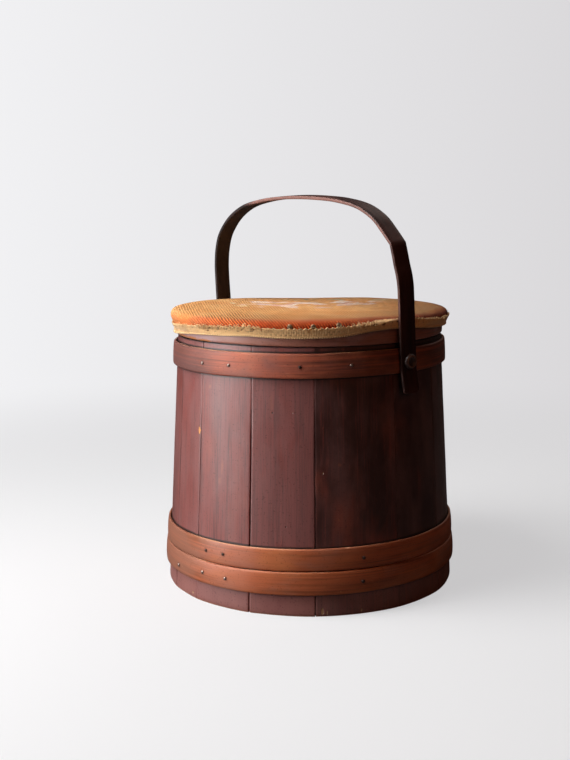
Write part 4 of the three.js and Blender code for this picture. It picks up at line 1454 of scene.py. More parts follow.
@dataclass
class Cushion:
    """The lid's padding in its needlepoint, pulled in under the gimp and pressed by the bail."""

    crown: float = 264.2
    bulge_radius: float = 133.38
    bulge_height: float = 257.5
    hem_radius: float = 130.68
    hem_height: float = 249.6
    inner_radius: float = 129.4
    board_top: float = 256.6
    flat: float = 130.47  # how far out the sides may stand between the bail's legs
    # the outside's line: shares of the bulge's radius and of the drop to it from the crown, then of
    # the way in from the bulge and down from it to the hem
    upper_shares: tuple[tuple[float, float], ...] = (
        (0, 0), (0.2, 0.01), (0.45, 0.04), (0.65, 0.06), (0.78, 0.1), (0.87, 0.12), (0.935, 0.14),
        (0.982, 0.26), (1.0, 0.6), (1.003, 1),
    )
    lower_shares: tuple[tuple[float, float], ...] = ((0.35, 0.4), (0.8, 0.7))
    lump: float = 0.4
    pull: float = 0.35  # unevenness of its side
    right_side_shade: float = 0.3  # how much darker the wool is painted on the side that faces the room, as painted shade
    edge_side_shade: float = 0.42  # and how much more its unfaded edge is, as painted shade on the cushion's side
    # by angle to the right of the photographed front: how far from the crown the wool starts to keep
    # its red and where it is whole, mm; how far it has faded beyond that; and how the rim is fuller
    # or flatter than the rest, mm
    fade_edges: tuple[tuple[float, float, float], ...] = (
        (-180, 122, 136), (-110, 130, 142), (-80, 130, 144), (-60, 127, 143), (-38, 119, 141),
        (-20, 112, 138), (-4, 107, 137), (13, 101, 136), (27, 102, 134), (40, 108, 135), (56, 118, 141),
        (90, 120, 140), (130, 120, 136), (180, 122, 136),
    )
    edge_fading: tuple[tuple[float, float], ...] = (
        (-180, 0.1), (-120, 0.4), (-90, 0.62), (-65, 0.55), (-45, 0.3), (-25, 0.1), (0, 0), (180, 0.1),
    )
    edge_matting: tuple[tuple[float, float], ...] = (
        (-180, 0.2), (-120, 0.9), (-62, 0.95), (-42, 0.4), (-25, 0), (60, 0), (180, 0.2),
    )
    rim_shifts: tuple[tuple[float, float], ...] = (
        (-180, -2.0), (-168, -1.5), (-150, -0.1), (-125, 1.2), (-95, 1.5), (-60, 0.8), (-20, 0),
        (50, 0), (90, 0.7), (120, 0.3), (151, -0.2), (168, -1.4), (180, -2.0),
    )
    # distance from the crown and how far the rows have leant by there, mm
    drifts: tuple[tuple[float, float], ...] = ((0, 0), (112, 13.4), (131, 17.2), (150, 29.0))
    facets: int = 300
    top_reach: float = 118.0  # how far from the crown the rings lie wide apart, mm
    top_rings: int = 40
    side_rings: int = 34
    # by polar angle: how far the gimp's lower edge stands above the lid band's, in its own widths
    gimp_wander: tuple[tuple[float, float], ...] = (
        (-130, 0.05), (-119, 0.12), (-111, 0.27), (-97, 0.62), (-89, 0.75), (-78, 0.85), (-64, 1.04),
        (-56, 0.88), (-44, 0.86), (-37, 0.91), (-29.6, 0.98), (-25.7, 1.09), (-21.7, 1.31),
        (-17.6, 1.5), (-13.2, 1.6), (-6.2, 1.64), (6.6, 1.44), (15.4, 1.22), (26, 1.05), (60, 0.88),
        (100, 0.8), (150, 0.9), (190, 0.55),
    )

    def gimp_low(self, angle: np.ndarray) -> np.ndarray:
        """Find the height of the gimp's lower edge.

        Args:
            angle: polar angles, radians.

        Returns:
            The heights, mm.
        """
        stops = np.array(self.gimp_wander)
        lows = [
            np.interp((np.degrees(angle) + turn) % 360, stops[:, 0] % 360, stops[:, 1], period=360)
            for turn in (-4, -2, 0, 2, 4)
        ]
        return BAND_LOW + CLEARANCE + GIMP_WIDTH * np.mean(lows, axis=0)

    def meridian(self) -> np.ndarray:
        """Shape the outside from the crown to the hem.

        Returns:
            Its line as radius and height, mm.
        """
        drop, tuck = self.crown - self.bulge_height, self.bulge_height - self.hem_height
        out, back = self.bulge_radius, self.bulge_radius - self.hem_radius
        upper = [[out * a, self.crown - drop * b] for a, b in self.upper_shares]
        lower = [[out - back * a, self.bulge_height - tuck * b] for a, b in self.lower_shares]
        return rounded([*upper, *lower, [self.hem_radius, self.hem_height]])

    def radius_at(self, height: Any) -> Any:
        """Find how far out the side lies.

        Args:
            height: a height below the shoulder, mm.

        Returns:
            The radius there, mm.
        """
        line = self.meridian()
        side = line[line[:, 0] > self.bulge_radius * 0.9][::-1]
        return np.interp(height, side[:, 1], side[:, 0])

    def build(self, finish: Needlepoint) -> None:
        """Build the padded cover as one closed form, and dress it.

        Args:
            finish: the cover's finish.
        """
        line = self.meridian()
        length = run_lengths(line)
        wide = np.linspace(0, self.top_reach, self.top_rings)
        close = np.linspace(self.top_reach, length[-1], self.side_rings)
        even = np.unique(np.concatenate([wide, close]))
        outside = np.stack([np.interp(even, length, line[:, axis]) for axis in (0, 1)], 1)
        inner = self.inner_radius
        under = np.array([
            [inner, self.hem_height + 0.2], [inner, self.board_top - 0.4], [inner - 1, self.board_top],
            [inner * 0.5, self.board_top], [0, self.board_top],
        ])
        radius, height = np.concatenate([outside, under]).T
        stretch = np.concatenate([even, np.full(len(under), even[-1])])
        angles = np.arange(self.facets)[:, None] * FULL_TURN / self.facets
        points = around(radius, angles, height)
        top = np.concatenate([np.ones(len(outside)), np.zeros(len(under))])
        inward = top * (1 - ease(radius, 100, 129))
        lumps = self.lump * unevenness(51, points[..., 0], points[..., 1], 85) * inward
        side = top * ease(radius, 118, 132) * ease(height, self.hem_height, 257)
        pulls = self.pull * unevenness(53, angles * self.bulge_radius, 0.0, 48) * side
        points[..., 2] += lumps - 0.25 * np.abs(pulls)
        points[..., :2] *= (1 + pulls / self.bulge_radius)[..., None]
        points[..., 0] = np.clip(points[..., 0], -self.flat, self.flat)
        # the hem is drawn up wherever the gimp climbs, so that it never shows below it
        drawn_up = np.maximum(self.gimp_low(angles) + 1.2 - self.hem_height, 0)
        near_hem = 1 - ease(points[..., 2], self.hem_height, self.bulge_height + 1)
        points[..., 2] += drawn_up * near_hem * (radius > inner - 0.1)
        seen = front_angle(angles)
        shift = from_table(self.rim_shifts, seen)
        points[..., 2] += shift * top * ease(radius, 70, 124) * ease(height, 256, 262)
        skin = Skin(points, self.carried(angles, seen, stretch), False, True, 180)
        made = skin.make("needlepoint_cushion")
        settle(made, "lid", finish, finish.build(), "needlepoint_cover", "lid_wadding")

    def carried(self, angles: np.ndarray, seen: np.ndarray, stretch: np.ndarray) -> dict[str, np.ndarray]:
        """Work out what each point of the cover carries for its finish.

        Args:
            angles: polar angles of the rings, radians.
            seen: the same to the right of the front, degrees.
            stretch: how far over the canvas each point of a ring lies from the crown, mm.

        Returns:
            Its place on the canvas, fading, matting, painted shade and the lean of its rows.
        """
        # the canvas lies flat on top and turns down over the edge; its rows follow the front
        stitch = around(stretch, angles - math.radians(PHOTO_TURN_DEG), 0.0)
        first, last = (from_table(self.fade_edges, seen, column) for column in (1, 2))
        ragged = 2 * unevenness(55, angles * self.bulge_radius, 0.0, 60)
        fade = 1 - ease((stretch + ragged - first) / (last - first), 0, 1)
        # where the window's light reaches round the edge, it has faded too
        fade = np.maximum(fade, from_table(self.edge_fading, seen))
        # the strands are crisp from further in than the red is
        matted = 1 - ease((stretch + 2 * ragged - first + 58) / (last - first + 48), 0, 1)
        matted = np.maximum(matted, from_table(self.edge_matting, seen))
        # the rows lean a little on top, and more where the canvas is drawn down over the side
        drift = np.interp(stretch, *np.array(self.drifts).T)
        lean = stitch[..., 1] / np.maximum(stretch, 1) * drift
        # painted shade: darker towards the side that faces the room, and more on the unfaded edge
        painted_shade = self.right_side_shade * ease(stitch[..., 0], 0, 130)
        painted_shade += self.edge_side_shade * (1 - fade) * ease(stitch[..., 0], -20, 60)
        return {"stitch": stitch, "fade": fade, "matted": matted, "painted_shade": painted_shade, "lean": lean}


@dataclass
class Gimp:
    """The gimp: a woven band with a stitched lower cord, looped upper edge and frayed threads."""

    cushion: Cushion
    width: float = GIMP_WIDTH
    thickness: float = 1.0
    stand_off: float = 0.45
    band_outside: float = 129.38
    tuck: float = 2.5
    flat: float = 131.77
    hole_pitch: float = 4.4
    highest: float = 262.4  # where it would turn in over the cushion
    hole_radius: float = 0.8
    hole_depth: float = 0.32
    # share of the width at which each row of holes lies, and its shift as a share of the pitch
    hole_row_shares: tuple[tuple[float, float], ...] = ((0.34, 0.0), (0.62, 0.5))
    rib_pitch: float = 2.2
    rib_height: float = 0.035
    edge_height: float = 0.35
    web_steps: int = 1520
    cord_steps: int = 2300
    loop_count: int = 182
    loop_radius: float = 0.42
    # by angle to the right of the front: how open its holes are, how far its upper edge has come
    # undone into gaps, and how much darker it is painted on the window's side, as painted shade
    openness: tuple[tuple[float, float], ...] = (
        (-180, 0.7), (-90, 0.2), (-50, 0.15), (-24, 0.35), (-15, 0.8), (14, 0.8), (24, 0.5), (60, 0.4),
        (180, 0.7),
    )
    undone: tuple[tuple[float, float], ...] = (
        (-180, 0.0), (-62, 0.0), (-54, 0.7), (-46, 1.0), (-22, 1.0), (-16, 0.2), (16, 0.1), (24, 1.0),
        (34, 1.0), (40, 0.5), (60, 0.3), (90, 0.0), (180, 0.0),
    )
    window_side_shade: tuple[tuple[float, float], ...] = ((-180, 0), (-120, 0.3), (-60, 0.3), (-25, 0), (180, 0))
    # where threads have come loose, from and to the same angle, and how many
    frayed: tuple[tuple[int, int, int], ...] = (
        (-50, -16, 110), (15, 34, 40), (-8, 16, 10), (40, 298, 70),
    )

    def place(self, angle: Any, share: Any, out: Any) -> np.ndarray:
        """Place points on the gimp.

        Args:
            angle: polar angle.
            share: height as a share of the gimp's width, from its lower edge.
            out: distance out from the gimp's back, mm.

        Returns:
            The points, mm.
        """
        angle, share, out = np.broadcast_arrays(angle, share, out)
        height = self.cushion.gimp_low(angle) + self.width * share
        height = np.minimum(height, self.highest + 0.15 * (height - self.highest))
        hem = self.cushion.hem_height
        tucked = np.interp(height, [hem - self.tuck, hem], [self.band_outside, self.cushion.hem_radius])
        under = np.where(height > hem, self.cushion.radius_at(height), tucked)
        points = around(under + self.stand_off + out, angle, height)
        limit = self.flat - self.thickness + np.minimum(out, self.thickness * 1.15)
        points[..., 0] = np.clip(points[..., 0], -limit, limit)
        return points

    def web(self, finish: Braid) -> None:
        """Build the woven band with its two rows of small holes.

        Args:
            finish: its finish.
        """
        angles = np.arange(self.web_steps)[:, None] * FULL_TURN / self.web_steps
        face = np.linspace(0.0, 1.0, 13)
        shares = np.concatenate([face, [0.98, 0.02]])
        girth = angles * self.cushion.bulge_radius
        across = shares * self.width
        dip = np.zeros(np.broadcast(girth, across).shape)
        seen = front_angle(angles)
        for row, (share, shift) in enumerate(self.hole_row_shares):
            nearest = (girth / self.hole_pitch + shift + 0.5) % 1 - 0.5
            spread = 0.75 + 0.35 * unevenness(61 + row, girth, 0.0, 60)
            spread = spread * from_table(self.openness, seen)
            gap = np.hypot(nearest * self.hole_pitch, across - share * self.width) / self.hole_radius
            dip = np.maximum(dip, np.exp(-(gap**2)) * spread)
        torn = ease(unevenness(65, 0.7 * girth, 1.5 * across, 6), 0.05, 0.8) * ease(shares, 0.3, 0.6)
        dip = np.maximum(dip, 0.8 * torn * from_table(self.undone, seen))
        ribs = self.rib_height * np.cos(girth * FULL_TURN / self.rib_pitch)
        ragged = 0.5 * unevenness(63, girth, 0.0, 14) * np.maximum(shares - 0.8, 0) / 0.2
        out = self.thickness + ribs - self.hole_depth * dip
        out[:, len(face) :] = 0.0
        out[:, [0, len(face) - 1]] -= self.edge_height
        points = self.place(angles, shares + ragged / self.width, out)
        # the holes and torn gaps are darkened as painted shade, and so is the window's side
        wear = np.maximum(dip, from_table(self.window_side_shade, seen))
        skin = Skin(points, {"grain": triples(girth, across, out), "wear": wear}, True, True, 70)
        settle(skin.make("woven_gimp"), "lid", finish, finish.build(), "lid_gimp")

    def cord(self, finish: Braid) -> None:
        """Build the bright stitched cord along the gimp's lower edge.

        Args:
            finish: its finish.
        """
        angles = np.arange(self.cord_steps) * FULL_TURN / self.cord_steps
        bead = np.abs(np.sin(angles * self.cushion.bulge_radius * math.pi / self.rib_pitch))
        path = self.place(angles, 0.07, 0.75)
        skin = tube(path, 0.58 + 0.3 * bead, 8, endless=True)
        # the cord is darkened between its beads as painted shade
        skin.carried["wear"] = np.broadcast_to((0.55 * (1 - bead))[:, None], skin.points.shape[:2])
        settle(skin.make("gimp_cord"), "lid", finish, finish.build())

    def loops(self, finish: Braid) -> None:
        """Build the small loops of the gimp's upper edge.

        Args:
            finish: their finish.
        """
        count, steps = self.loop_count, 10
        picks = np.random.default_rng(67)
        tall = picks.uniform(0.7, 1.15, count) * picks.choice([1, 1, 1, 1, 0.35], count)
        share = np.arange(count * steps) / steps
        number = share.astype(int) % count
        rise = np.abs(np.sin(math.pi * (share % 1))) ** 0.7 * tall[number]
        angles = (share + 0.22 * np.sin(FULL_TURN * share)) * FULL_TURN / count
        path = self.place(angles, 0.93 + rise * 0.2, 0.7 + 0.35 * rise)
        skin = tube(path, self.loop_radius, 6, endless=True)
        settle(skin.make("gimp_loops"), "lid", finish, finish.build())

    def fray(self, finish: Braid) -> None:
        """Build the loose threads where the upper edge has come undone.

        Args:
            finish: their finish.
        """
        picks = np.random.default_rng(71)
        material = finish.build()
        t = np.linspace(0, 1, 8)
        for number, (start, end, count) in enumerate(self.frayed, 1):
            parts = []
            for _ in range(count):
                angle = seen_angle(picks.uniform(start, end))
                span = picks.uniform(2.0, 5.2)
                drift = picks.uniform(-0.02, 0.02)
                bend = picks.uniform(-0.008, 0.008)
                angles = angle + drift * t + bend * np.sin(t * math.pi * picks.uniform(1, 2))
                shares = picks.uniform(0.55, 0.95)
                shares = shares + span / self.width * np.sin(t * picks.uniform(1.2, 2.6)) * 0.8
                out = 0.95 + picks.uniform(0.2, 0.9) * np.sin(t * math.pi * 0.8)
                radius = picks.uniform(0.16, 0.32) * (1 - 0.5 * t)
                parts.append(tube(self.place(angles, shares, out), radius, 5))
            settle(merged(parts, f"gimp_fray_{number}"), "lid", finish, material)

    def build(self, band: Braid, edge: Braid) -> None:
        """Build the band, its cord, its loops and its loose threads.

        Args:
            band: the finish of the band.
            edge: the finish of the cord, the loops and the threads.
        """
        self.web(band)
        for part in (self.cord, self.loops, self.fray):
            part(edge)


def merged(skins: Sequence[Skin], name: str) -> Object:
    """Make several skins into one object.

    Args:
        skins: the skins, each closed in itself.
        name: the object's name.

    Returns:
        The object that holds them all.
    """
    made = [skin.make(f"{name}_{number}") for number, skin in enumerate(skins)]
    with bpy.context.temp_override(active_object=made[0], selected_editable_objects=made):
        bpy.ops.object.join()
    made[0].name = name
    return made[0]


@dataclass
class UpholsteryTacks:
    """Three dark domed tacks through the needlepoint's front edge."""

    cushion: Cushion
    radius: float = 2.5
    dome: float = 0.8
    places: tuple[tuple[float, float], ...] = ((-8.2, 258.6), (0.5, 258.5), (10.1, 259.7))

    def build(self, finish: Metal) -> None:
        """Drive the tacks in along the cushion's own slope.

        Args:
            finish: their finish.
        """
        material = finish.build()
        size, dome = self.radius, self.dome
        profile = [
            [0, -6], [0.5, -4], [0.5, -0.2], [size * 0.95, -0.35], [size, -0.05],
            [size * 0.85, dome * 0.55], [size * 0.5, dome * 0.9], [size * 0.2, dome], [0, dome],
        ]
        for number, (seen_deg, height) in enumerate(self.places, 1):
            below, above = (float(self.cushion.radius_at(height + step)) for step in (-0.6, 0.6))
            turn = np.array(facing(seen_angle(seen_deg), math.atan2(below - above, 1.2)))
            radius = float(self.cushion.radius_at(height)) + 0.1
            seat = around(radius, seen_angle(seen_deg), height)
            made = turned(profile, 20).placed(turn, seat).make(f"upholstery_tack_{number}")
            settle(made, "lid", finish, material)


# Finishes of this bucket

# Pine staves: shaved along the grain, stained red-brown and varnished; the varnish has dulled to a
# soft sheen with a mauve bloom, laid thicker as painted sheen towards the window, and the fibres show
# as fine upright streaks.
STAVE_PINE = AgedWood(
    "stained_varnished_pine", "stained_pine", "#3e1611", "#8c4038", "#a85440", "#bd7a5c", "#8d6462",
    fibre=(36.0, 1.2), band=(260.0, 7.0), roughness=0.5, specular=0.5, bloom_and_sheen_share=0.45,
    relief=0.2, chatter=0.12, varnish=0.8,
    marks=(
        Mark(-50.9, 158.6, 2, 3.6, MarkKind.FRESH_CHIP),
        Mark(-45, 200.3, 2, 2.8, MarkKind.SCUFF, 0.5),
        Mark(-37.5, 130, 1.8, 12, MarkKind.SCUFF, 0.45),
        Mark(-38.5, 116, 2.6, 5, MarkKind.SCUFF, 0.3),
        Mark(-16, 190, 2.4, 14, MarkKind.SCUFF, 0.2),
        Mark(-52.4, 4.7, 2, 1.1, MarkKind.CHIP),
        Mark(3.6, 4.6, 1.5, 3.4, MarkKind.CHIP),
        Mark(5.2, 3.2, 0.9, 2.2, MarkKind.CHIP, 0.8),
        Mark(18.3, 3.4, 1.2, 2.6, MarkKind.CHIP),
        Mark(9.2, 7.2, 0.7, 1.6, MarkKind.SCUFF),
        Mark(-8.4, 203.7, 0.8, 2.4, MarkKind.SCUFF, 0.7),
        Mark(-15.5, 182.2, 1, 1.3, MarkKind.DENT, 0.8),
        Mark(-7.6, 182.6, 0.7, 1.2, MarkKind.CHIP, 0.5),
        Mark(12.6, 67.5, 0.7, 3.8, MarkKind.SCUFF, 0.8),
        Mark(16.4, 67.2, 0.6, 1.8, MarkKind.SCUFF, 0.7),
        Mark(10, 87, 1.2, 2.2, MarkKind.SCUFF, 0.4),
        Mark(17.4, 87.5, 1, 2.6, MarkKind.SCUFF, 0.4),
        Mark(4, 129, 0.8, 1.4, MarkKind.CHIP, 0.5),
        Mark(10.5, 136, 2.4, 2, MarkKind.SCUFF, 0.3),
        Mark(-15.2, 18.4, 1.1, 1, MarkKind.DENT),
        Mark(-10, 81, 1.1, 1, MarkKind.DENT, 0.7),
    ),
)


def hoop_ash(name: str, hoop: str, marks: Sequence[Mark], **others: Any) -> AgedWood:
    """Make the finish of one hoop: split ash, shaved, bent and varnished an orange brown.

    The long grain runs round the bucket, edges are rubbed pale and iron has stained the wood
    round each tack.

    Args:
        name: the material's name.
        hoop: which hoop.
        marks: the hoop's marks beside the iron stains.
        others: what differs from the other hoops' finish.

    Returns:
        The finish.
    """
    strip = HOOPS[hoop]
    stains = []
    for tack in TACKS:
        if tack.hoop == hoop:
            angle = math.radians(tack.angle_deg)
            place = float(front_angle(angle)), strip.height_at(angle, tack.height_share)
            stains.append(Mark(*place, 4.2, 3.4, MarkKind.IRON_STAIN, 0.6, strip.thickness))
    made = AgedWood(
        name, "hoop_wood", "#84401e", "#be623a", "#d07a48", "#e0aa84", "#9c7060",
        fibre=(90.0, 1.6), band=(420.0, 5.0), cloud=38.0, roughness=0.58, specular=1.0, bloom_and_sheen_share=0.5,
        relief=0.1, wear_share=0.8, varnish=0.5, gleam="#ffc8a8", marks=(*stains, *marks),
    )
    return replace(made, **others)


# Bail: ash bent round a form, varnished nearly black, rubbed to a pinkish brown along its arrises.
BAIL_ASH = AgedWood(
    "varnished_bent_ash", "bail_wood", "#090404", "#3e1c18", "#4c251b", "#9c7066", "#4b3838",
    fibre=(60.0, 0.9), band=(300.0, 4.0), cloud=30.0, roughness=0.5, specular=0.2, bloom_and_sheen_share=0.35,
    wear_share=0.75, varnish=0.4, varnish_roughness=0.5,
)

# Pins: turned hardwood, rubbed light on the rim of the head, which stands also as a painted highlight,
# and darkened in its dish as painted shade.
PEG_WOOD = AgedWood(
    "turned_hardwood", "peg_wood", "#241512", "#3a2520", "#55382c", "#8a6450", "#45332d",
    fibre=(14.0, 0.8), band=(60.0, 3.0), cloud=9.0, roughness=0.42,
)

# Boards and keys out of sight: planed pine, never finished, greyed and a little dirty.
BARE_PINE = AgedWood(
    "bare_planed_pine", "bare_board", "#7d5a3c", "#a98257", "#c49e70", "#b08a60", "#8b7a66",
    fibre=(80.0, 1.1), band=(600.0, 11.0), roughness=0.7, specular=0.2, bloom_and_sheen_share=0.4, varnish=0.0,
    source=GrainSource.LEVEL,
)

# Lid band: the same bent ash as the hoops, darker, with a grey-mauve bloom where hands never rub,
# laid on thickly as painted sheen.
LID_BAND_ASH = AgedWood(
    "lid_band_ash", "hoop_wood", "#7a4638", "#ac6c5a", "#bc7e68", "#d89a6c", "#c0a0a2",
    fibre=(90.0, 1.4), band=(420.0, 5.0), cloud=30.0, roughness=0.54, specular=0.5, bloom_and_sheen_share=0.75,
    relief=0.1, wear_share=0.7,
    marks=(
        Mark(-68, 241.6, 18, 2.6, MarkKind.WORN_EDGE, 0.9, 1.8),
        Mark(-58, 241.6, 17, 2.6, MarkKind.WORN_EDGE, 1, 1.8),
        Mark(-49, 241.2, 15, 2.2, MarkKind.WORN_EDGE, 1, 1.8),
        Mark(-43.3, 241.6, 1.2, 1, MarkKind.DENT, 1, 1.8),
    ),
)

# Tacks: cut iron, black with age, and some rubbed bright by handling.
DARK_IRON = Metal("aged_cut_iron", "black_iron", "#5b4a42", "#33201a", 0.9, 0.5)
BRIGHT_IRON = Metal("rubbed_cut_iron", "black_iron", "#b4a298", "#4a302a", 0.6, 0.42)
DOMED_IRON = Metal("lacquered_iron_dome", "black_iron", "#94785a", "#24140e", 0.9, 0.5, 1.6)

# Gimp: woven cotton, starched and straw-yellow, dirty in patches, with painted shade in the hollows of its
# weave.
GIMP_BAND = Braid("woven_cotton_gimp", "gimp_braid", "#f4b87a", "#ffdc9e", "#7a4622", 2.2, 0.1)
GIMP_EDGE = Braid("twisted_cotton_cord", "gimp_braid", "#efb87a", "#fce0aa", "#8a5428", 1.1, 0.15)


@dataclass(frozen=True)
class Lamp:
    """A soft area lamp, placed as the photograph sees it: right, away and up from the foot, m."""

    name: str
    place: tuple[float, float, float]
    aim: tuple[float, float, float]
    wide: float
    tall: float
    power: float
    colour: str


@dataclass
class Studio:
    """The pale floor, the soft light and the camera."""

    lamps: tuple[Lamp, ...] = (
        Lamp("window", (-0.94, -0.31, 0.38), (0, 0, 0.1), 0.5, 0.8, 9.3, "#fdfbfb"),
        Lamp("skylight", (-0.55, -0.2, 1.05), (0, 0, 0.2), 0.6, 0.6, 9.8, "#ffffff"),
        Lamp("room_front", (0.75, -1.3, 1.0), (0, 0, 0.2), 0.8, 0.8, 1.45, "#ffa878"),
        Lamp("room_behind", (1.0, 1.5, 1.7), (0, 0, 0.15), 1.4, 1.4, 5.0, "#fff6ee"),
    )
    camera_place: tuple[float, float, float] = (-0.02359, -1.15119, 0.37186)
    camera_pitch_deg: float = 8.9
    camera_roll: float = -0.00554
    lens: float = 56.27
    sensor: float = 36.0
    wall_ends: tuple[str, str] = ("#f5f5f7", "#d6d4d6")  # towards the window and away from it
    wall_reach: float = 0.32  # how far right or left those ends lie, as a share of the distance
    table: str = "#9c9c9c"
    table_bounce: str = "#555352"
    table_lift: float = 0.555  # how much the white table's own brightness washes out its shadows
    table_lift_tint: str = "#fdfdff"
    floor_radius: float = 40.0
    floor_fading: tuple[float, float] = (0.32, 1.3)  # from and to how far out it pales, m
    ambient: float = 0.014
    ambient_tint: str = "#ffb890"

    def turned(self, vector: Sequence[float]) -> Vector:
        """Turn a vector from the photograph's frame into the bucket's."""
        return Matrix.Rotation(math.radians(PHOTO_TURN_DEG), 3, "Z") @ Vector(vector)

    def camera(self) -> None:
        """Set the camera where the photograph was taken."""
        pitch = math.radians(self.camera_pitch_deg)
        forward = Vector((0, math.cos(pitch), -math.sin(pitch)))
        up = Vector((0, math.sin(pitch), math.cos(pitch)))
        right = Vector((1, 0, 0))
        cosine, sine = math.cos(self.camera_roll), math.sin(self.camera_roll)
        axes = [cosine * right + sine * up, cosine * up - sine * right, -forward]
        data = bpy.data.cameras.new("photo_camera")
        data.lens, data.sensor_width = self.lens, self.sensor
        made = bpy.data.objects.new("photo_camera", data)
        rotation = Matrix([self.turned(axis) for axis in axes]).transposed()
        made.matrix_world = Matrix.Translation(self.turned(self.camera_place)) @ rotation.to_4x4()
        bpy.context.scene.collection.objects.link(made)
        bpy.context.scene.camera = made

    def light(self) -> None:
        """Hang the lamps and set the world."""
        for lamp in self.lamps:
            data = bpy.data.lights.new(lamp.name, "AREA")
            data.shape, data.size, data.size_y = "RECTANGLE", lamp.wide, lamp.tall
            data.energy = lamp.power
            data.color = linear(lamp.colour)[:3]
            made = bpy.data.objects.new(lamp.name, data)
            made.location = self.turned(lamp.place)
            aim = self.turned(lamp.aim) - made.location
            made.rotation_euler = aim.to_track_quat("-Z", "Y").to_euler()
            made.visible_camera = False
            bpy.context.scene.collection.objects.link(made)
        world = bpy.data.worlds.new("pale_room")
        bpy.context.scene.world = world
        world.use_nodes = True
        tree = world.node_tree
        tree.nodes.clear()
        seen = self.seen_ray(tree)
        wall = self.wall_colour(tree, add_node(tree, "TexCoord").outputs["Generated"])
        pale = add_node(tree, "Background", {"Color": wall, "Strength": 1.0})
        dim = add_node(tree, "Background", {"Color": linear(self.ambient_tint), "Strength": self.ambient})
        sky = add_node(tree, "MixShader", {0: seen, 1: dim, 2: pale})
        add_node(tree, "OutputWorld", {"Surface": sky})

    def wall_colour(self, tree: NodeTree, heading: Any) -> Node:
        """Shade the wall from the window's side to the other.

        Args:
            tree: the tree that the nodes go into.
            heading: the direction in which the wall lies.

        Returns:
            The node that gives the colour.
        """
        across = add_node(tree, "VectorMath", {0: heading}, operation="NORMALIZE")
        right = tuple(self.turned((1, 0, 0)))
        across = add_node(tree, "VectorMath", {0: across, 1: right}, operation="DOT_PRODUCT")
        reach = {"From Min": -self.wall_reach, "From Max": self.wall_reach}
        share = add_node(tree, "MapRange", {"Value": across.outputs["Value"], **reach})
        ends = [linear(tint) for tint in self.wall_ends]
        return add_node(tree, "Mix", {"Factor": share, "A": ends[0], "B": ends[1]}, data_type="RGBA")

    def seen_ray(self, tree: NodeTree) -> Node:
        """Tell the rays that see the background from the rest.

        Args:
            tree: the tree that the nodes go into.

        Returns:
            The node that gives 1 for rays from the camera and rays through glass, else 0.
        """
        path = add_node(tree, "LightPath")
        rays = [path.outputs[f"Is {kind} Ray"] for kind in ("Camera", "Transmission")]
        return add_node(tree, "Math", dict(enumerate(rays)), operation="MAXIMUM")

    def floor(self) -> None:
        """Lay the floor, which pales into the wall's grey with distance and keeps shadows."""
        mesh = bpy.data.meshes.new("floor")
        shape = bmesh.new()
        bmesh.ops.create_circle(shape, cap_ends=True, radius=self.floor_radius, segments=96)
        shape.to_mesh(mesh)
        shape.free()
        made = bpy.data.objects.new("floor", mesh)
        bpy.context.scene.collection.objects.link(made)
        material, tree = new_material("matt_white_table")
        place = add_node(tree, "TexCoord").outputs["Object"]
        reach = add_node(tree, "VectorMath", {0: place}, operation="LENGTH")
        near, far = self.floor_fading
        limits = {"Value": reach, "From Min": near, "From Max": far, "To Min": 0.0, "To Max": 1.0}
        far = add_node(tree, "MapRange", limits, interpolation_type="SMOOTHSTEP")
        seen = self.seen_ray(tree)
        tints = {"Factor": seen, "A": linear(self.table_bounce), "B": linear(self.table)}
        lit = add_node(tree, "BsdfDiffuse", {"Color": add_node(tree, "Mix", tints, data_type="RGBA")})
        haze = add_node(tree, "Math", {0: seen, 1: self.table_lift}, operation="MULTIPLY")
        lift = add_node(tree, "Emission", {"Color": linear(self.table_lift_tint), "Strength": haze})
        near = add_node(tree, "AddShader", {0: lit, 1: lift})
        away = {0: place, 1: tuple(self.turned(self.camera_place))}
        wall = self.wall_colour(tree, add_node(tree, "VectorMath", away, operation="SUBTRACT"))
        glow = add_node(tree, "Emission", {"Color": wall, "Strength": 1.0})
        share = add_node(tree, "Math", {0: far, 1: seen}, operation="MULTIPLY")
        mix = add_node(tree, "MixShader", {0: share, 1: near, 2: glow})
        add_node(tree, "OutputMaterial", {"Surface": mix})
        made.data.materials.append(material)

    def build(self) -> None:
        """Set up the studio."""
        self.camera()
        self.light()
        self.floor()
        bpy.context.scene.view_settings.view_transform = "Standard"


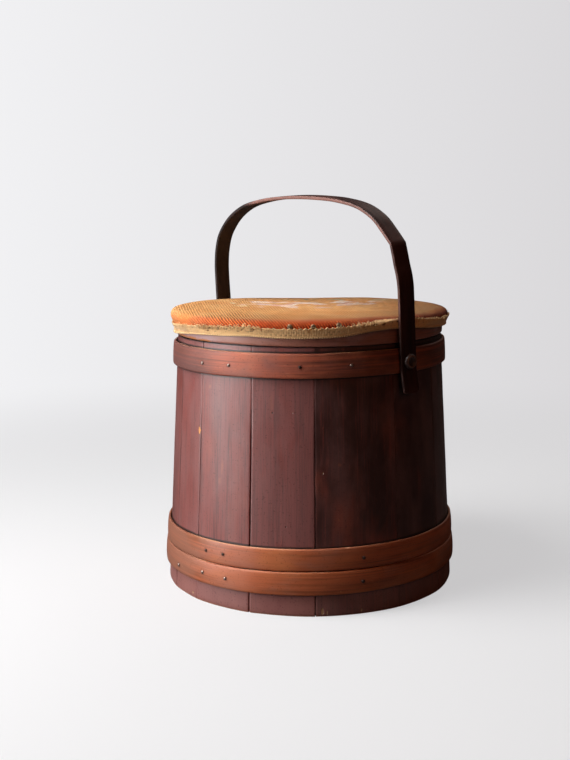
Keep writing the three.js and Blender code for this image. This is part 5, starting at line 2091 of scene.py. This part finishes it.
def main() -> None:
    """Build the studio and dress the bucket, piece by piece."""
    logging.basicConfig(level=logging.INFO)
    Studio().build()
    Staves().build(STAVE_PINE)
    hoop_marks = {
        "foot": (
            Mark(3, 19.8, 4.5, 0.8, MarkKind.PALE_NICK, 1, 2.9),
            Mark(10.1, 23.4, 0.9, 1.3, MarkKind.PALE_NICK, 0.9, 2.9),
        ),
        "lower": (
            Mark(12.9, 62.3, 3, 0.7, MarkKind.PALE_NICK, 0.9, 2.4),
            Mark(21, 62.8, 1.6, 0.5, MarkKind.PALE_NICK, 0.7, 2.4),
        ),
        "top": (
            Mark(-68, 217.9, 0.9, 0.9, MarkKind.DENT, 1, 2.9),
            Mark(-66, 230, 34, 12, MarkKind.DULLED, 0.6, 2.9),
        ),
    }
    # the top hoop has darkened, and its varnish is duller and more mauve than the others'
    darker = {
        "deep": "#5a261a", "body": "#b85a3e", "bright": "#cc7450", "bloom_and_sheen": "#6c4a4a", "bloom_and_sheen_share": 0.65,
        "roughness": 0.64, "varnish": 0.35, "gleam": "#ffceb8",
    }
    for key, strip in HOOPS.items():
        others = darker if key == "top" else {}
        strip.build(hoop_ash(f"varnished_split_ash_{key}", key, hoop_marks[key], **others))
    TackHeads().build(DARK_IRON, BRIGHT_IRON)
    Bail().build(BAIL_ASH, PEG_WOOD)
    BentStrip(
        "bent_lid_band", "lid_band", "lid", BAND_LOW, 15.8, 2.6, 0.0, band_seat, 13, bulge=0.05
    ).build(LID_BAND_ASH)
    cushion = Cushion()
    cushion.build(Needlepoint())
    Gimp(cushion).build(GIMP_BAND, GIMP_EDGE)
    UpholsteryTacks(cushion).build(DOMED_IRON)
    bare = BARE_PINE.build()
    for node in ("bottom_board_narrow", "bottom_board_wide", "lid_board", "pin_key_near", "pin_key_far"):
        dress_solid(node, bare)


if __name__ == "__main__":
    main()
